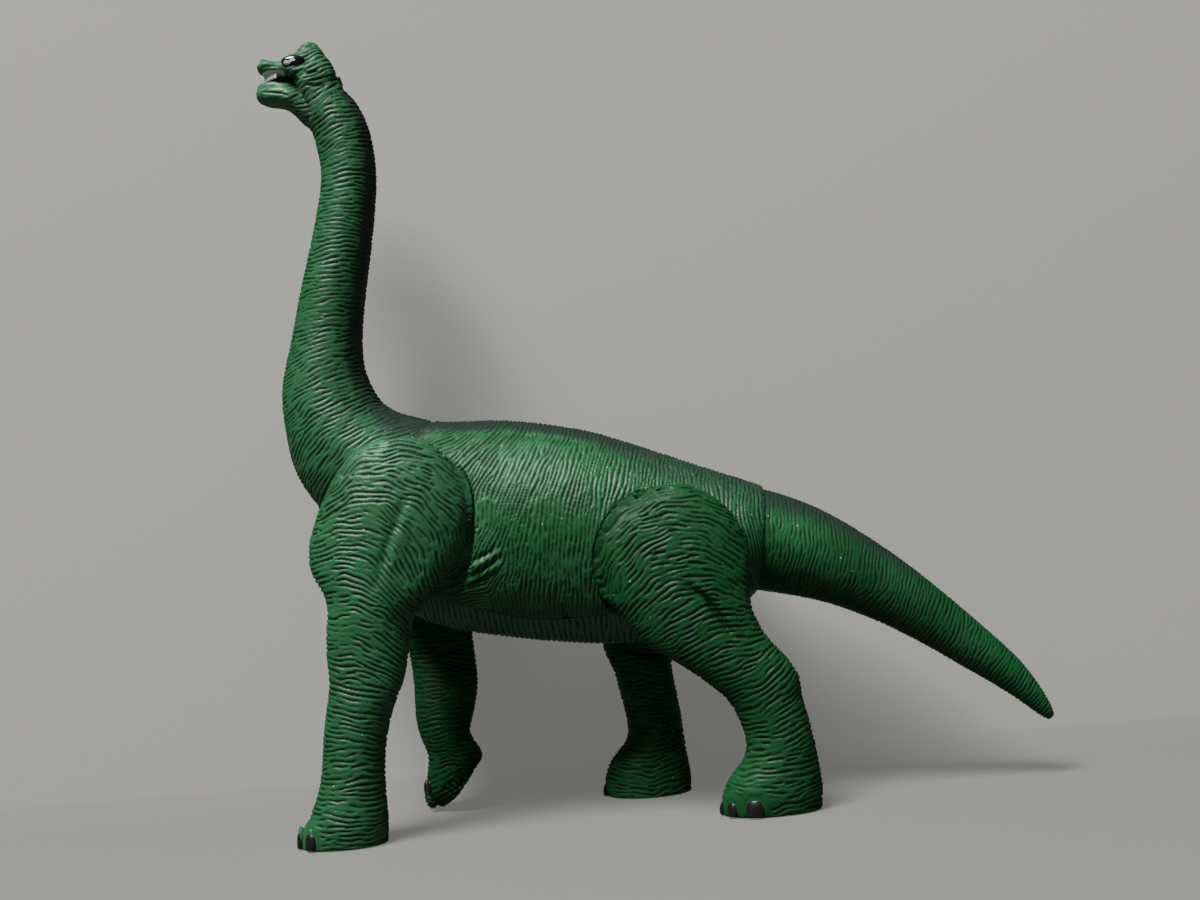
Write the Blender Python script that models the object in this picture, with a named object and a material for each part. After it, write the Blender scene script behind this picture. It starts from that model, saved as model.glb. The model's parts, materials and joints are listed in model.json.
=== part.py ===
"""A long-necked toy dinosaur in soft vinyl, moulded as separate pieces that snap together.

The figure faces -X and stands on z = 0, with its left side towards -Y. The torso is a hollow moulding, open below and
closed by a belly plate. The neck, tail and four legs each carry a stem with a barb, which snaps through a hole in the
torso's wall and turns there. The head snaps into the top of the neck in the same way.
"""

import math
from typing import NamedTuple

import bmesh
import bpy
from mathutils import Matrix, Vector

MM = 0.001

# Clearances, walls and snap lip
GAP = 0.3 * MM
WALL = 2.4 * MM
LIP_THICKNESS = 1.2 * MM
LIP_HEIGHT = 2.4 * MM
OVERRUN = 20 * MM

# Torso
GROUND_CLEARANCE = 37.6 * MM
TORSO_LENGTH = 102 * MM
TORSO_DEPTH = 54.5 * MM
TORSO_WIDTH = 40.8 * MM

# Neck
NECK_RISE = 82.3 * MM
NECK_SWAY = 10 * MM
NECK_DEPTH = 14 * MM
NECK_WIDTH = 13.6 * MM

# Head
HEAD_LENGTH = 16 * MM
HEAD_HEIGHT = 15.4 * MM
HEAD_WIDTH = 11.8 * MM
CREST_LENGTH = 5.8 * MM
CREST_WIDTH = 3.6 * MM
CREST_HEIGHT = 4.2 * MM
EYE_DIAMETER = 2.8 * MM

# Tail
TAIL_LENGTH = 63.7 * MM
TAIL_DROP = 46 * MM
TAIL_DEPTH = 24 * MM
TAIL_WIDTH = 23 * MM
TAIL_STEP = 0.5 * MM

# Legs
SEAT = 15 * MM
STANCE = 15.8 * MM
LEG_THICKNESS = 14 * MM
SHOULDER_RADIUS = 17.2 * MM
FORELEG_DEPTH = 14.4 * MM
LEFT_FORELEG_REACH = -16.9 * MM
RIGHT_FORELEG_REACH = 4.8 * MM
FORELEG_CLEARING = 36 * MM
HAUNCH_RADIUS = 17.3 * MM
HIND_LEG_DEPTH = 15.4 * MM
LEFT_HIND_REACH = 18.2 * MM
RIGHT_HIND_REACH = -8.3 * MM
HIND_LEG_CLEARING = 25.5 * MM
CLAW_WIDTH = 2.6 * MM
CLAW_HEIGHT = 4.6 * MM
CLAW_DEPTH = 1.8 * MM

# Snap stems
LEG_STEM_RADIUS = 4.2 * MM
NECK_STEM_RADIUS = 5 * MM
TAIL_STEM_RADIUS = 4 * MM
HEAD_STEM_RADIUS = 2.2 * MM
HEAD_STEM_LENGTH = 4.5 * MM
BARB = 1.1 * MM
BARB_LENGTH = 1.8 * MM
STEM_ROOT = 3 * MM

# Places on the torso, as shares of its length from the chest and of its depth from the belly
SHOULDER_SHARES = (0.193, 0.635)
HAUNCH_SHARES = (0.780, 0.354)

# Torso outline: back edge along and up, belly edge along and up, then width
TORSO_SHARES = (
    (0.283, 1.000, 0.000, 0.673, 0.637),
    (0.338, 0.994, 0.044, 0.506, 0.794),
    (0.392, 0.991, 0.118, 0.319, 0.853),
    (0.451, 0.983, 0.221, 0.158, 0.902),
    (0.534, 0.954, 0.348, 0.088, 0.971),
    (0.632, 0.908, 0.495, 0.035, 1.000),
    (0.730, 0.835, 0.642, 0.002, 0.955),
    (0.819, 0.767, 0.765, 0.002, 0.895),
    (0.899, 0.703, 0.868, 0.055, 0.840),
    (0.956, 0.661, 0.931, 0.121, 0.765),
    (1.000, 0.624, 0.966, 0.172, 0.618),
)
TORSO_KEEL_SHARE = 0.48

# Line where the flanks meet the belly plate: along and up
BELLY_LINE_SHARES = (
    (0.054, 0.383),
    (0.254, 0.286),
    (0.348, 0.218),
    (0.456, 0.163),
    (0.523, 0.150),
    (0.642, 0.158),
    (0.740, 0.127),
    (0.838, 0.090),
    (0.907, 0.072),
    (0.975, 0.044),
)

# Neck: sway, rise, depth, width, then tilt in degrees
NECK_SHARES = (
    (-0.505, 0.046, 2.100, 1.765, 28.7),
    (-0.805, 0.095, 1.830, 1.647, 24),
    (-0.955, 0.151, 1.640, 1.530, 18),
    (-1.060, 0.216, 1.500, 1.410, 14),
    (-1.050, 0.284, 1.371, 1.324, 10),
    (-0.895, 0.377, 1.200, 1.206, 5),
    (-0.685, 0.493, 1.129, 1.132, 2),
    (-0.395, 0.632, 1.021, 1.059, -2),
    (-0.165, 0.765, 0.943, 1.000, -2),
    (-0.125, 0.848, 0.929, 0.970, 9),
    (-0.200, 0.915, 0.939, 0.940, 18),
    (-0.345, 0.970, 0.903, 0.897, 31),
    (-0.540, 1.000, 0.874, 0.838, 45),
)

# Tail: along, drop, depth, width, then tilt in degrees
TAIL_SHARES = (
    (0.150, 0.070, 0.908, 0.948, 74.8),
    (0.299, 0.174, 0.767, 0.800, 62.5),
    (0.456, 0.313, 0.642, 0.660, 51.6),
    (0.597, 0.459, 0.533, 0.548, 49),
    (0.733, 0.615, 0.442, 0.452, 49),
    (0.848, 0.750, 0.354, 0.357, 49),
    (0.922, 0.859, 0.258, 0.260, 46),
    (0.975, 0.952, 0.167, 0.165, 41),
    (1.000, 1.000, 0.079, 0.078, 39),
)

# Skull and jaw: forward from the neck, underside, top, then width
SKULL_SHARES = (
    (-0.147, 0.227, 0.552, 0.61),
    (-0.049, 0.065, 0.760, 0.81),
    (0.123, -0.045, 0.916, 0.97),
    (0.258, 0.032, 0.955, 1.00),
    (0.368, 0.292, 0.890, 1.00),
    (0.491, 0.487, 0.815, 0.95),
    (0.675, 0.513, 0.755, 0.80),
    (0.859, 0.545, 0.780, 0.68),
    (0.957, 0.591, 0.730, 0.49),
)
JAW_SHARES = (
    (0.120, -0.270, 0.300, 0.70),
    (0.250, -0.295, 0.325, 0.72),
    (0.370, -0.230, 0.360, 0.74),
    (0.470, -0.095, 0.410, 0.80),
    (0.580, 0.020, 0.435, 0.78),
    (0.760, 0.055, 0.442, 0.70),
    (0.939, 0.120, 0.416, 0.54),
    (1.000, 0.201, 0.331, 0.37),
)
# Nape behind the skull: forward, up, depth and width of the head's own sizes, then tilt in degrees
NAPE_SHARES = (
    (0.092, 0.195, 0.812, 0.95, 60),
    (0.215, 0.357, 0.714, 0.92, 75),
)
CREST_PLACE_SHARES = (0.235, 0.868)
EYE_PLACE_SHARES = (0.460, 0.725, 0.80)

# Leg tops: up and along from the joint and depth, of the disc's radius, then outer side, of the leg's thickness
SHOULDER_TOP_SHARES = (
    (0.953, 0.047, 0.520, 0.23),
    (0.860, 0.023, 0.977, 0.43),
    (0.686, 0.029, 1.337, 0.63),
    (0.395, 0.017, 1.703, 0.83),
    (0.047, -0.037, 1.958, 0.97),
)
LEFT_SHOULDER_SHARES = (
    (-0.360, -0.147, 2.010, 1.06),
    (-0.710, -0.228, 1.810, 1.11),
    (-1.030, -0.265, 1.436, 1.14),
)
RIGHT_SHOULDER_SHARES = (
    (-0.360, -0.035, 1.850, 1.06),
    (-0.710, -0.040, 1.510, 1.11),
    (-1.030, 0.010, 1.300, 1.14),
)
HAUNCH_TOP_SHARES = (
    (0.971, 0.000, 0.500, 0.26),
    (0.844, -0.010, 1.050, 0.49),
    (0.670, -0.010, 1.460, 0.69),
    (0.387, 0.000, 1.820, 0.89),
    (0.000, 0.000, 1.980, 1.00),
)
LEFT_HAUNCH_SHARES = (
    (-0.340, 0.020, 1.860, 1.06),
    (-0.688, 0.150, 1.640, 1.06),
    (-1.006, 0.335, 1.560, 1.03),
)
RIGHT_HAUNCH_SHARES = (
    (-0.340, 0.000, 1.800, 1.06),
    (-0.688, -0.060, 1.560, 1.06),
    (-1.006, -0.300, 1.340, 1.03),
)

# Leg columns: up of the joint's height, along of the foot's reach, depth, outer side, inner side, tilt in degrees
LEFT_FORELEG_SHARES = (
    (0.690, 0.424, 1.368, 1.11, 0.57, 0),
    (0.609, 0.486, 1.326, 1.06, 0.45, 0),
    (0.499, 0.530, 1.180, 0.99, 0.26, 0),
    (0.409, 0.670, 1.062, 0.94, 0.62, 0),
    (0.305, 0.777, 1.000, 0.91, 0.84, 0),
    (0.208, 0.828, 1.014, 0.92, 0.90, 0),
    (0.125, 0.896, 1.153, 0.96, 0.98, 0),
    (0.062, 0.955, 1.300, 0.98, 1.04, 0),
    (0.000, 1.000, 1.340, 0.88, 1.00, 0),
)
RIGHT_FORELEG_SHARES = (
    (0.690, 0.375, 1.389, 1.11, 0.57, 0),
    (0.623, 0.708, 1.194, 1.06, 0.45, 0),
    (0.499, 0.896, 1.118, 0.99, 0.26, 0),
    (0.402, 1.000, 1.090, 0.94, 0.62, 0),
    (0.305, 0.812, 0.986, 0.91, 0.84, 0),
    (0.242, 0.792, 0.830, 0.90, 0.89, 4),
    (0.194, 1.083, 0.854, 0.90, 0.88, 10),
    (0.144, 1.083, 1.014, 0.92, 0.90, 22),
    (0.105, 1.000, 1.180, 0.96, 0.94, 31),
    (0.0780, 1.167, 1.111, 0.84, 0.84, 41.5),
)
LEFT_HIND_SHARES = (
    (0.606, 0.620, 1.565, 1.00, 0.32, 0),
    (0.527, 0.850, 1.377, 0.97, 0.56, 0),
    (0.448, 0.986, 1.091, 0.94, 0.80, 0),
    (0.369, 1.074, 1.013, 0.93, 0.90, 0),
    (0.281, 1.134, 0.994, 0.94, 0.94, 0),
    (0.211, 1.123, 1.091, 0.95, 0.96, 0),
    (0.141, 1.040, 1.357, 0.99, 1.02, 0),
    (0.078, 1.008, 1.455, 1.00, 1.06, 0),
    (0.000, 1.000, 1.415, 0.90, 1.00, 0),
)
RIGHT_HIND_SHARES = (
    (0.606, 0.976, 1.169, 1.00, 0.32, 0),
    (0.527, 0.952, 0.935, 0.97, 0.56, 0),
    (0.439, 0.861, 0.903, 0.94, 0.82, 0),
    (0.316, 0.735, 0.870, 0.93, 0.94, 0),
    (0.228, 0.735, 0.922, 0.94, 0.94, 0),
    (0.149, 0.970, 1.227, 0.99, 1.02, 0),
    (0.078, 1.018, 1.344, 1.00, 1.04, 0),
    (0.000, 1.000, 1.300, 0.90, 1.00, 0),
)

# Armpit relief behind each foreleg: degrees back from straight down, then radius of the shoulder's
LEFT_RELIEF_SHARES = ((0, 1.90), (24, 1.45), (38, 1.27), (50, 1.15), (64, 1.06), (74, 1.02))
RIGHT_RELIEF_SHARES = ((0, 1.90), (34, 1.70), (46, 1.35), (56, 1.20), (66, 1.08), (76, 1.02))
HAUNCH_RELIEF_SHARES = ((0, 1.60), (20, 1.35), (50, 1.25), (66, 1.15), (76, 1.08), (88, 1.02))

# Claws: degrees from the front of the foot towards its outer side
FORE_CLAW_ANGLES = (-28, 8, 44)
HIND_CLAW_ANGLES = (-20, 14, 48)

# Fineness of the faceted surfaces
BODY_SIDES = 24
LIMB_SIDES = 16
STEM_SIDES = 20
DISC_SIDES = 40
LUMP_SIDES = 8
LUMP_RINGS = 5
BLEND_STEPS = 2


class Station(NamedTuple):
    """One cross-section: centre, size from back to front, lowest and highest y, and tilt of the back-to-front line."""

    x: float
    z: float
    depth: float
    low: float
    high: float
    tilt: float


def torso_point(along_share, up_share):
    """A place in the middle plane, from shares of the torso's length and depth."""
    return along_share * TORSO_LENGTH, GROUND_CLEARANCE + up_share * TORSO_DEPTH


def torso_stations():
    stations = []
    for back_x, back_z, belly_x, belly_z, width in TORSO_SHARES:
        back = Vector(torso_point(back_x, back_z))
        belly = Vector(torso_point(belly_x, belly_z))
        middle = (back + belly) / 2
        span = back - belly
        half = width * TORSO_WIDTH / 2
        stations.append(Station(middle.x, middle.y, span.length, -half, half, math.atan2(span.y, span.x)))
    return stations


def way_on(station):
    """Unit vector square to a section, from the torso out along the neck."""
    return Vector((-math.sin(station.tilt), 0, math.cos(station.tilt)))


def moved(station, distance):
    step = way_on(station) * distance
    return station._replace(x=station.x + step.x, z=station.z + step.z)


def inset(station, distance):
    return station._replace(
        depth=station.depth - 2 * distance, low=station.low + distance, high=station.high - distance
    )


def neck_stations():
    root = moved(torso_stations()[0], GAP)
    stations = [root]
    for sway, rise, depth, width, tilt in NECK_SHARES:
        half = width * NECK_WIDTH / 2
        x = root.x + sway * NECK_SWAY
        z = root.z + rise * NECK_RISE
        stations.append(Station(x, z, depth * NECK_DEPTH, -half, half, math.radians(tilt)))
    return stations


def tail_stations():
    root = inset(moved(torso_stations()[-1], -GAP), TAIL_STEP)
    stations = [root]
    for along, drop, depth, width, tilt in TAIL_SHARES:
        half = width * TAIL_WIDTH / 2
        x = root.x + along * TAIL_LENGTH
        z = root.z - drop * TAIL_DROP
        stations.append(Station(x, z, depth * TAIL_DEPTH, -half, half, math.radians(tilt)))
    return stations


def leg_stations(joint, radius, top_shares, column_shares, reach, depth):
    """Sections of one leg, from the top of its disc to its sole, on the +Y side."""
    stations = []
    inner = STANCE - column_shares[0][4] * LEG_THICKNESS / 2
    for up, along, size, outer in top_shares:
        high = STANCE + outer * LEG_THICKNESS / 2
        stations.append(Station(joint.x + along * radius, joint.z + up * radius, size * radius, inner, high, 0))
    for up, along, size, outer, inner_side, tilt in column_shares:
        x = joint.x + along * reach
        high = STANCE + outer * LEG_THICKNESS / 2
        low = STANCE - inner_side * LEG_THICKNESS / 2
        stations.append(Station(x, up * joint.z, size * depth, low, high, math.radians(tilt)))
    return stations


def blended(stations, steps=BLEND_STEPS):
    """The same run of sections with smooth ones added between, on a Catmull-Rom curve."""
    smooth = []
    last = len(stations) - 1
    for index in range(last):
        before = stations[max(index - 1, 0)]
        start = stations[index]
        end = stations[index + 1]
        after = stations[min(index + 2, last)]
        for step in range(steps):
            t = step / steps
            smooth.append(Station(*(
                0.5 * (2 * b + (c - a) * t + (2 * a - 5 * b + 4 * c - d) * t**2 + (3 * b - a - 3 * c + d) * t**3)
                for a, b, c, d in zip(before, start, end, after)
            )))
    smooth.append(stations[-1])
    return smooth


def section_points(station, sides, keel_share):
    """Points round a section, whose widest line is a share of its depth above its front edge."""
    back = Vector((math.cos(station.tilt), 0, math.sin(station.tilt)))
    widest = Vector((station.x, (station.low + station.high) / 2, station.z))
    widest += back * (keel_share - 0.5) * station.depth
    half = (station.high - station.low) / 2
    points = []
    for side in range(sides):
        turn = math.tau * side / sides
        reach = (1 - keel_share if math.cos(turn) > 0 else keel_share) * station.depth
        points.append(widest + back * reach * math.cos(turn) + Vector((0, half * math.sin(turn), 0)))
    return points


def closed_mesh(name, rings):
    """A closed mesh through rings of points, with flat ends."""
    shape = bmesh.new()
    rows = [[shape.verts.new(point) for point in ring] for ring in rings]
    for row, following in zip(rows, rows[1:]):
        for index in range(len(row)):
            other = (index + 1) % len(row)
            shape.faces.new((row[index], row[other], following[other], following[index]))
    shape.faces.new(rows[0])
    shape.faces.new(rows[-1])
    bmesh.ops.recalc_face_normals(shape, faces=shape.faces)
    mesh = bpy.data.meshes.new(name)
    shape.to_mesh(mesh)
    shape.free()
    return mesh


def add_object(name, mesh):
    piece = bpy.data.objects.new(name, mesh)
    bpy.context.collection.objects.link(piece)
    return piece


def add_loft(name, stations, sides, keel_share=0.5):
    rings = [section_points(station, sides, keel_share) for station in stations]
    return add_object(name, closed_mesh(name, rings))


def add_tool(piece):
    """Marks a solid that only cuts or joins another one."""
    piece.hide_render = True
    piece.display_type = "WIRE"
    return piece


def combine(piece, other, operation):
    modifier = piece.modifiers.new(other.name, "BOOLEAN")
    modifier.operation = operation
    modifier.solver = "EXACT"
    modifier.object = other


def along_axis(direction):
    """Turn that carries +Z onto a direction."""
    return direction.to_track_quat("Z", "Y").to_matrix().to_4x4()


def add_turned(name, profile, place, direction, sides=STEM_SIDES):
    """A round solid from (radius, height) pairs, turned about a direction through a place."""
    frame = Matrix.Translation(place) @ along_axis(direction)
    rings = []
    for radius, height in profile:
        angles = [math.tau * (side + 0.5) / sides for side in range(sides)]
        rings.append([frame @ Vector((radius * math.cos(a), radius * math.sin(a), height)) for a in angles])
    return add_object(name, closed_mesh(name, rings))


def stem_profile(radius, length, grown=0):
    """A stem that runs back into its own piece, out by a length, and ends in a barb."""
    stem = radius + grown
    barb = radius + BARB + grown
    barb_start = length - grown
    barb_end = length + BARB_LENGTH + grown
    return (
        (stem, -STEM_ROOT),
        (stem, barb_start),
        (barb, barb_start),
        (barb, barb_end - BARB_LENGTH / 2),
        (stem, barb_end),
    )


def add_stem(piece, radius, length, place, direction):
    """Gives a piece its snap stem, from its own face at a place."""
    stem = add_turned(f"{piece.name}_stem", stem_profile(radius, length), place, direction)
    combine(piece, add_tool(stem), "UNION")


def add_wall_hole(piece, name, radius, place, direction):
    """Cuts the hole in a thin wall that a stem snaps through."""
    reach = WALL + BARB_LENGTH
    hole = add_turned(f"{name}_hole", ((radius + GAP, -reach), (radius + GAP, reach)), place, direction)
    combine(piece, add_tool(hole), "DIFFERENCE")


def add_socket(piece, name, radius, length, place, direction):
    """Cuts the blind socket, with room for the barb, that a stem snaps into."""
    profile = stem_profile(radius, length, GAP)
    socket = add_turned(f"{name}_socket", profile, place, direction)
    combine(piece, add_tool(socket), "DIFFERENCE")


def add_prism(name, outline, low, high):
    """An outline of (x, z) points, run from one y to another."""
    rings = [[Vector((x, y, z)) for x, z in outline] for y in (low, high)]
    return add_tool(add_object(name, closed_mesh(name, rings)))


def belly_region(name, lift, half_width=TORSO_WIDTH):
    """All that lies below the belly line, raised by a lift, out to a half width."""
    line = [torso_point(along, up) for along, up in BELLY_LINE_SHARES]
    outline = [(x, z + lift) for x, z in line]
    outline.append((line[-1][0], GROUND_CLEARANCE - OVERRUN))
    outline.append((line[0][0], GROUND_CLEARANCE - OVERRUN))
    return add_prism(name, outline, -half_width, half_width)


def torso_block(name, distance):
    """The torso's outer form, drawn in by a distance on every side."""
    stations = [inset(station, distance) for station in torso_stations()]
    stations[0] = moved(stations[0], -distance)
    stations[-1] = moved(stations[-1], distance)
    return add_loft(name, blended(stations), BODY_SIDES, TORSO_KEEL_SHARE)


def joint_at(shares, side):
    x, z = torso_point(*shares)
    return Vector((x, side * SEAT, z))


def add_seat_recess(name, joint, radius, relief_shares, side):
    """The pocket in a flank for a leg's disc, with relief where the leg swings back."""
    reliefs = {math.radians(angle): share for angle, share in relief_shares}
    outline = []
    for step in range(DISC_SIDES):
        angle = math.tau * step / DISC_SIDES
        size = 1
        edges = sorted(reliefs)
        for first, second in zip(edges, edges[1:]):
            if first <= angle < second:
                part = (angle - first) / (second - first)
                size = reliefs[first] + (reliefs[second] - reliefs[first]) * part
        reach = size * radius + GAP
        outline.append((joint.x + reach * math.sin(angle), joint.z - reach * math.cos(angle)))
    return add_prism(name, outline, side * SEAT, side * (SEAT + OVERRUN))


def add_disc(name, joint, radius, low, high):
    outline = []
    for step in range(DISC_SIDES):
        angle = math.tau * step / DISC_SIDES
        outline.append((joint.x + radius * math.sin(angle), joint.z - radius * math.cos(angle)))
    return add_prism(name, outline, low, high)


def add_ball(name, place, size):
    """A small rounded lump with three sizes."""
    shape = bmesh.new()
    bmesh.ops.create_uvsphere(shape, u_segments=LUMP_SIDES, v_segments=LUMP_RINGS, radius=0.5)
    bmesh.ops.transform(shape, matrix=Matrix.Translation(place) @ Matrix.Diagonal((*size, 1)), verts=shape.verts)
    mesh = bpy.data.meshes.new(name)
    shape.to_mesh(mesh)
    shape.free()
    return add_tool(add_object(name, mesh))


def add_claws(leg, sole, angles, side):
    """Claws round the front of a foot, half sunk into it."""
    half_depth = sole.depth / 2
    half_width = (sole.high - sole.low) / 2
    middle = (sole.high + sole.low) / 2
    for number, angle in enumerate(angles):
        turn = math.radians(angle)
        along = -math.cos(turn) * half_depth
        edge = Vector((math.cos(sole.tilt) * along, math.sin(turn) * half_width, math.sin(sole.tilt) * along))
        place = Vector((sole.x, middle, sole.z)) + edge + way_on(sole) * (CLAW_HEIGHT / 2 + GAP)
        place.y *= side
        claw = add_ball(f"{leg.name}_claw_{number}", place, (CLAW_DEPTH, CLAW_WIDTH, CLAW_HEIGHT))
        combine(leg, claw, "UNION")


def build_torso(joints):
    """The hollow moulding above the belly line."""
    torso = torso_block("torso_shell", 0)
    cavity = add_tool(torso_block("torso_cavity", WALL))
    floor = SEAT - WALL
    for name, (joint, radius, _, side) in joints.items():
        boss = add_disc(f"{name}_boss", joint, radius + WALL, side * floor, side * (floor + OVERRUN))
        combine(cavity, boss, "DIFFERENCE")
    combine(torso, cavity, "DIFFERENCE")
    combine(torso, belly_region("torso_cut", GAP / 2), "DIFFERENCE")
    for name, (joint, radius, relief_shares, side) in joints.items():
        combine(torso, add_seat_recess(f"{name}_recess", joint, radius, relief_shares, side), "DIFFERENCE")
    return torso


def build_belly_plate():
    """The pan that closes the torso from below, with a lip that stands inside the flanks and the leg seats."""
    plate = torso_block("belly_plate", 0)
    combine(plate, belly_region("plate_cut", -GAP / 2), "INTERSECT")
    lip = add_tool(torso_block("belly_lip", WALL + GAP))
    combine(lip, belly_region("lip_cut", LIP_HEIGHT, SEAT - WALL - GAP), "INTERSECT")
    combine(plate, lip, "UNION")
    combine(plate, add_tool(torso_block("belly_hollow", WALL + GAP + LIP_THICKNESS)), "DIFFERENCE")
    return plate


def build_leg(name, joint, radius, top_shares, column_shares, reach, depth, clearing, claw_angles):
    """A leg with a flat inner face on its joint, hollowed inside so that it swings clear of the belly."""
    side = math.copysign(1, joint.y)
    stations = leg_stations(joint, radius, top_shares, column_shares, reach, depth)
    mirrored = [station._replace(low=side * station.low, high=side * station.high) for station in blended(stations)]
    leg = add_loft(name, mirrored, LIMB_SIDES)
    inner_face = side * (SEAT + GAP)
    combine(leg, add_disc(f"{name}_clearing", joint, clearing, -inner_face, inner_face), "DIFFERENCE")
    face_centre = Vector((joint.x, inner_face, joint.z))
    inwards = Vector((0, -side, 0))
    add_stem(leg, LEG_STEM_RADIUS, WALL + 2 * GAP, face_centre, inwards)
    add_claws(leg, stations[-1], claw_angles, side)
    return leg, face_centre, inwards


def build_neck():
    stations = neck_stations()
    neck = add_loft("neck", blended(stations), LIMB_SIDES)
    root = stations[0]
    foot = Vector((root.x, 0, root.z))
    inwards = -way_on(root)
    add_stem(neck, NECK_STEM_RADIUS, WALL + 2 * GAP, foot, inwards)
    return neck, foot, inwards


def build_tail():
    stations = tail_stations()
    tail = add_loft("tail", blended(stations), LIMB_SIDES)
    root = stations[0]
    foot = Vector((root.x, 0, root.z))
    inwards = way_on(root)
    add_stem(tail, TAIL_STEM_RADIUS, WALL + 2 * GAP, foot, inwards)
    return tail, foot, inwards


def head_station(seat, row):
    forward, under, top, width = row
    low = seat.z + under * HEAD_HEIGHT
    high = seat.z + top * HEAD_HEIGHT
    half = width * HEAD_WIDTH / 2
    return Station(seat.x - forward * HEAD_LENGTH, (low + high) / 2, high - low, -half, half, math.pi / 2)


def build_head():
    """Skull and open jaw on a short nape, whose face meets the top of the neck."""
    seat = moved(neck_stations()[-1], GAP)
    nape_run = [seat]
    for forward, up, depth, width, tilt in NAPE_SHARES:
        half = width * HEAD_WIDTH / 2
        x = seat.x - forward * HEAD_LENGTH
        z = seat.z + up * HEAD_HEIGHT
        nape_run.append(Station(x, z, depth * HEAD_HEIGHT, -half, half, math.radians(tilt)))
    head = add_loft("head", blended([head_station(seat, row) for row in SKULL_SHARES]), LIMB_SIDES)
    jaw = add_tool(add_loft("head_jaw", blended([head_station(seat, row) for row in JAW_SHARES]), LIMB_SIDES))
    combine(head, jaw, "UNION")
    face = Vector((seat.x, 0, seat.z))
    behind = add_turned("head_trim", ((HEAD_HEIGHT, -GAP), (HEAD_HEIGHT, OVERRUN)), face, -way_on(seat))
    combine(head, add_tool(behind), "DIFFERENCE")
    combine(head, add_tool(add_loft("head_nape", blended(nape_run), LIMB_SIDES)), "UNION")
    forward, up = CREST_PLACE_SHARES
    crest_place = Vector((seat.x - forward * HEAD_LENGTH, 0, seat.z + up * HEAD_HEIGHT))
    combine(head, add_ball("head_crest", crest_place, (CREST_LENGTH, CREST_WIDTH, CREST_HEIGHT)), "UNION")
    forward, up, out = EYE_PLACE_SHARES
    for name, side in (("head_left_eye", -1), ("head_right_eye", 1)):
        place = Vector((
            seat.x - forward * HEAD_LENGTH, side * out * HEAD_WIDTH / 2, seat.z + up * HEAD_HEIGHT
        ))
        combine(head, add_ball(name, place, (EYE_DIAMETER, EYE_DIAMETER, EYE_DIAMETER)), "UNION")
    inwards = -way_on(seat)
    add_stem(head, HEAD_STEM_RADIUS, HEAD_STEM_LENGTH, face, inwards)
    return head, face, inwards


def vinyl(name, colour, roughness):
    material = bpy.data.materials.new(name)
    material.use_nodes = True
    shader = material.node_tree.nodes["Principled BSDF"]
    shader.inputs["Base Color"].default_value = (*colour, 1)
    shader.inputs["Roughness"].default_value = roughness
    shader.inputs["Metallic"].default_value = 0
    return material


def set_origin(piece, place):
    """Puts a piece's origin on a place without moving its surface."""
    piece.data.transform(Matrix.Translation(-place))
    piece.location = place


def stand_over_origin(pieces):
    """Carries everything on one empty, so that the middle of the overall length is over the origin."""
    view = bpy.context.evaluated_depsgraph_get()
    reach = [piece.location.x + corner[0] for piece in pieces for corner in piece.evaluated_get(view).bound_box]
    figure = bpy.data.objects.new("figure", None)
    bpy.context.collection.objects.link(figure)
    for piece in list(bpy.data.objects):
        if piece is not figure:
            piece.parent = figure
    figure.location.x = -(min(reach) + max(reach)) / 2


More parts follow.
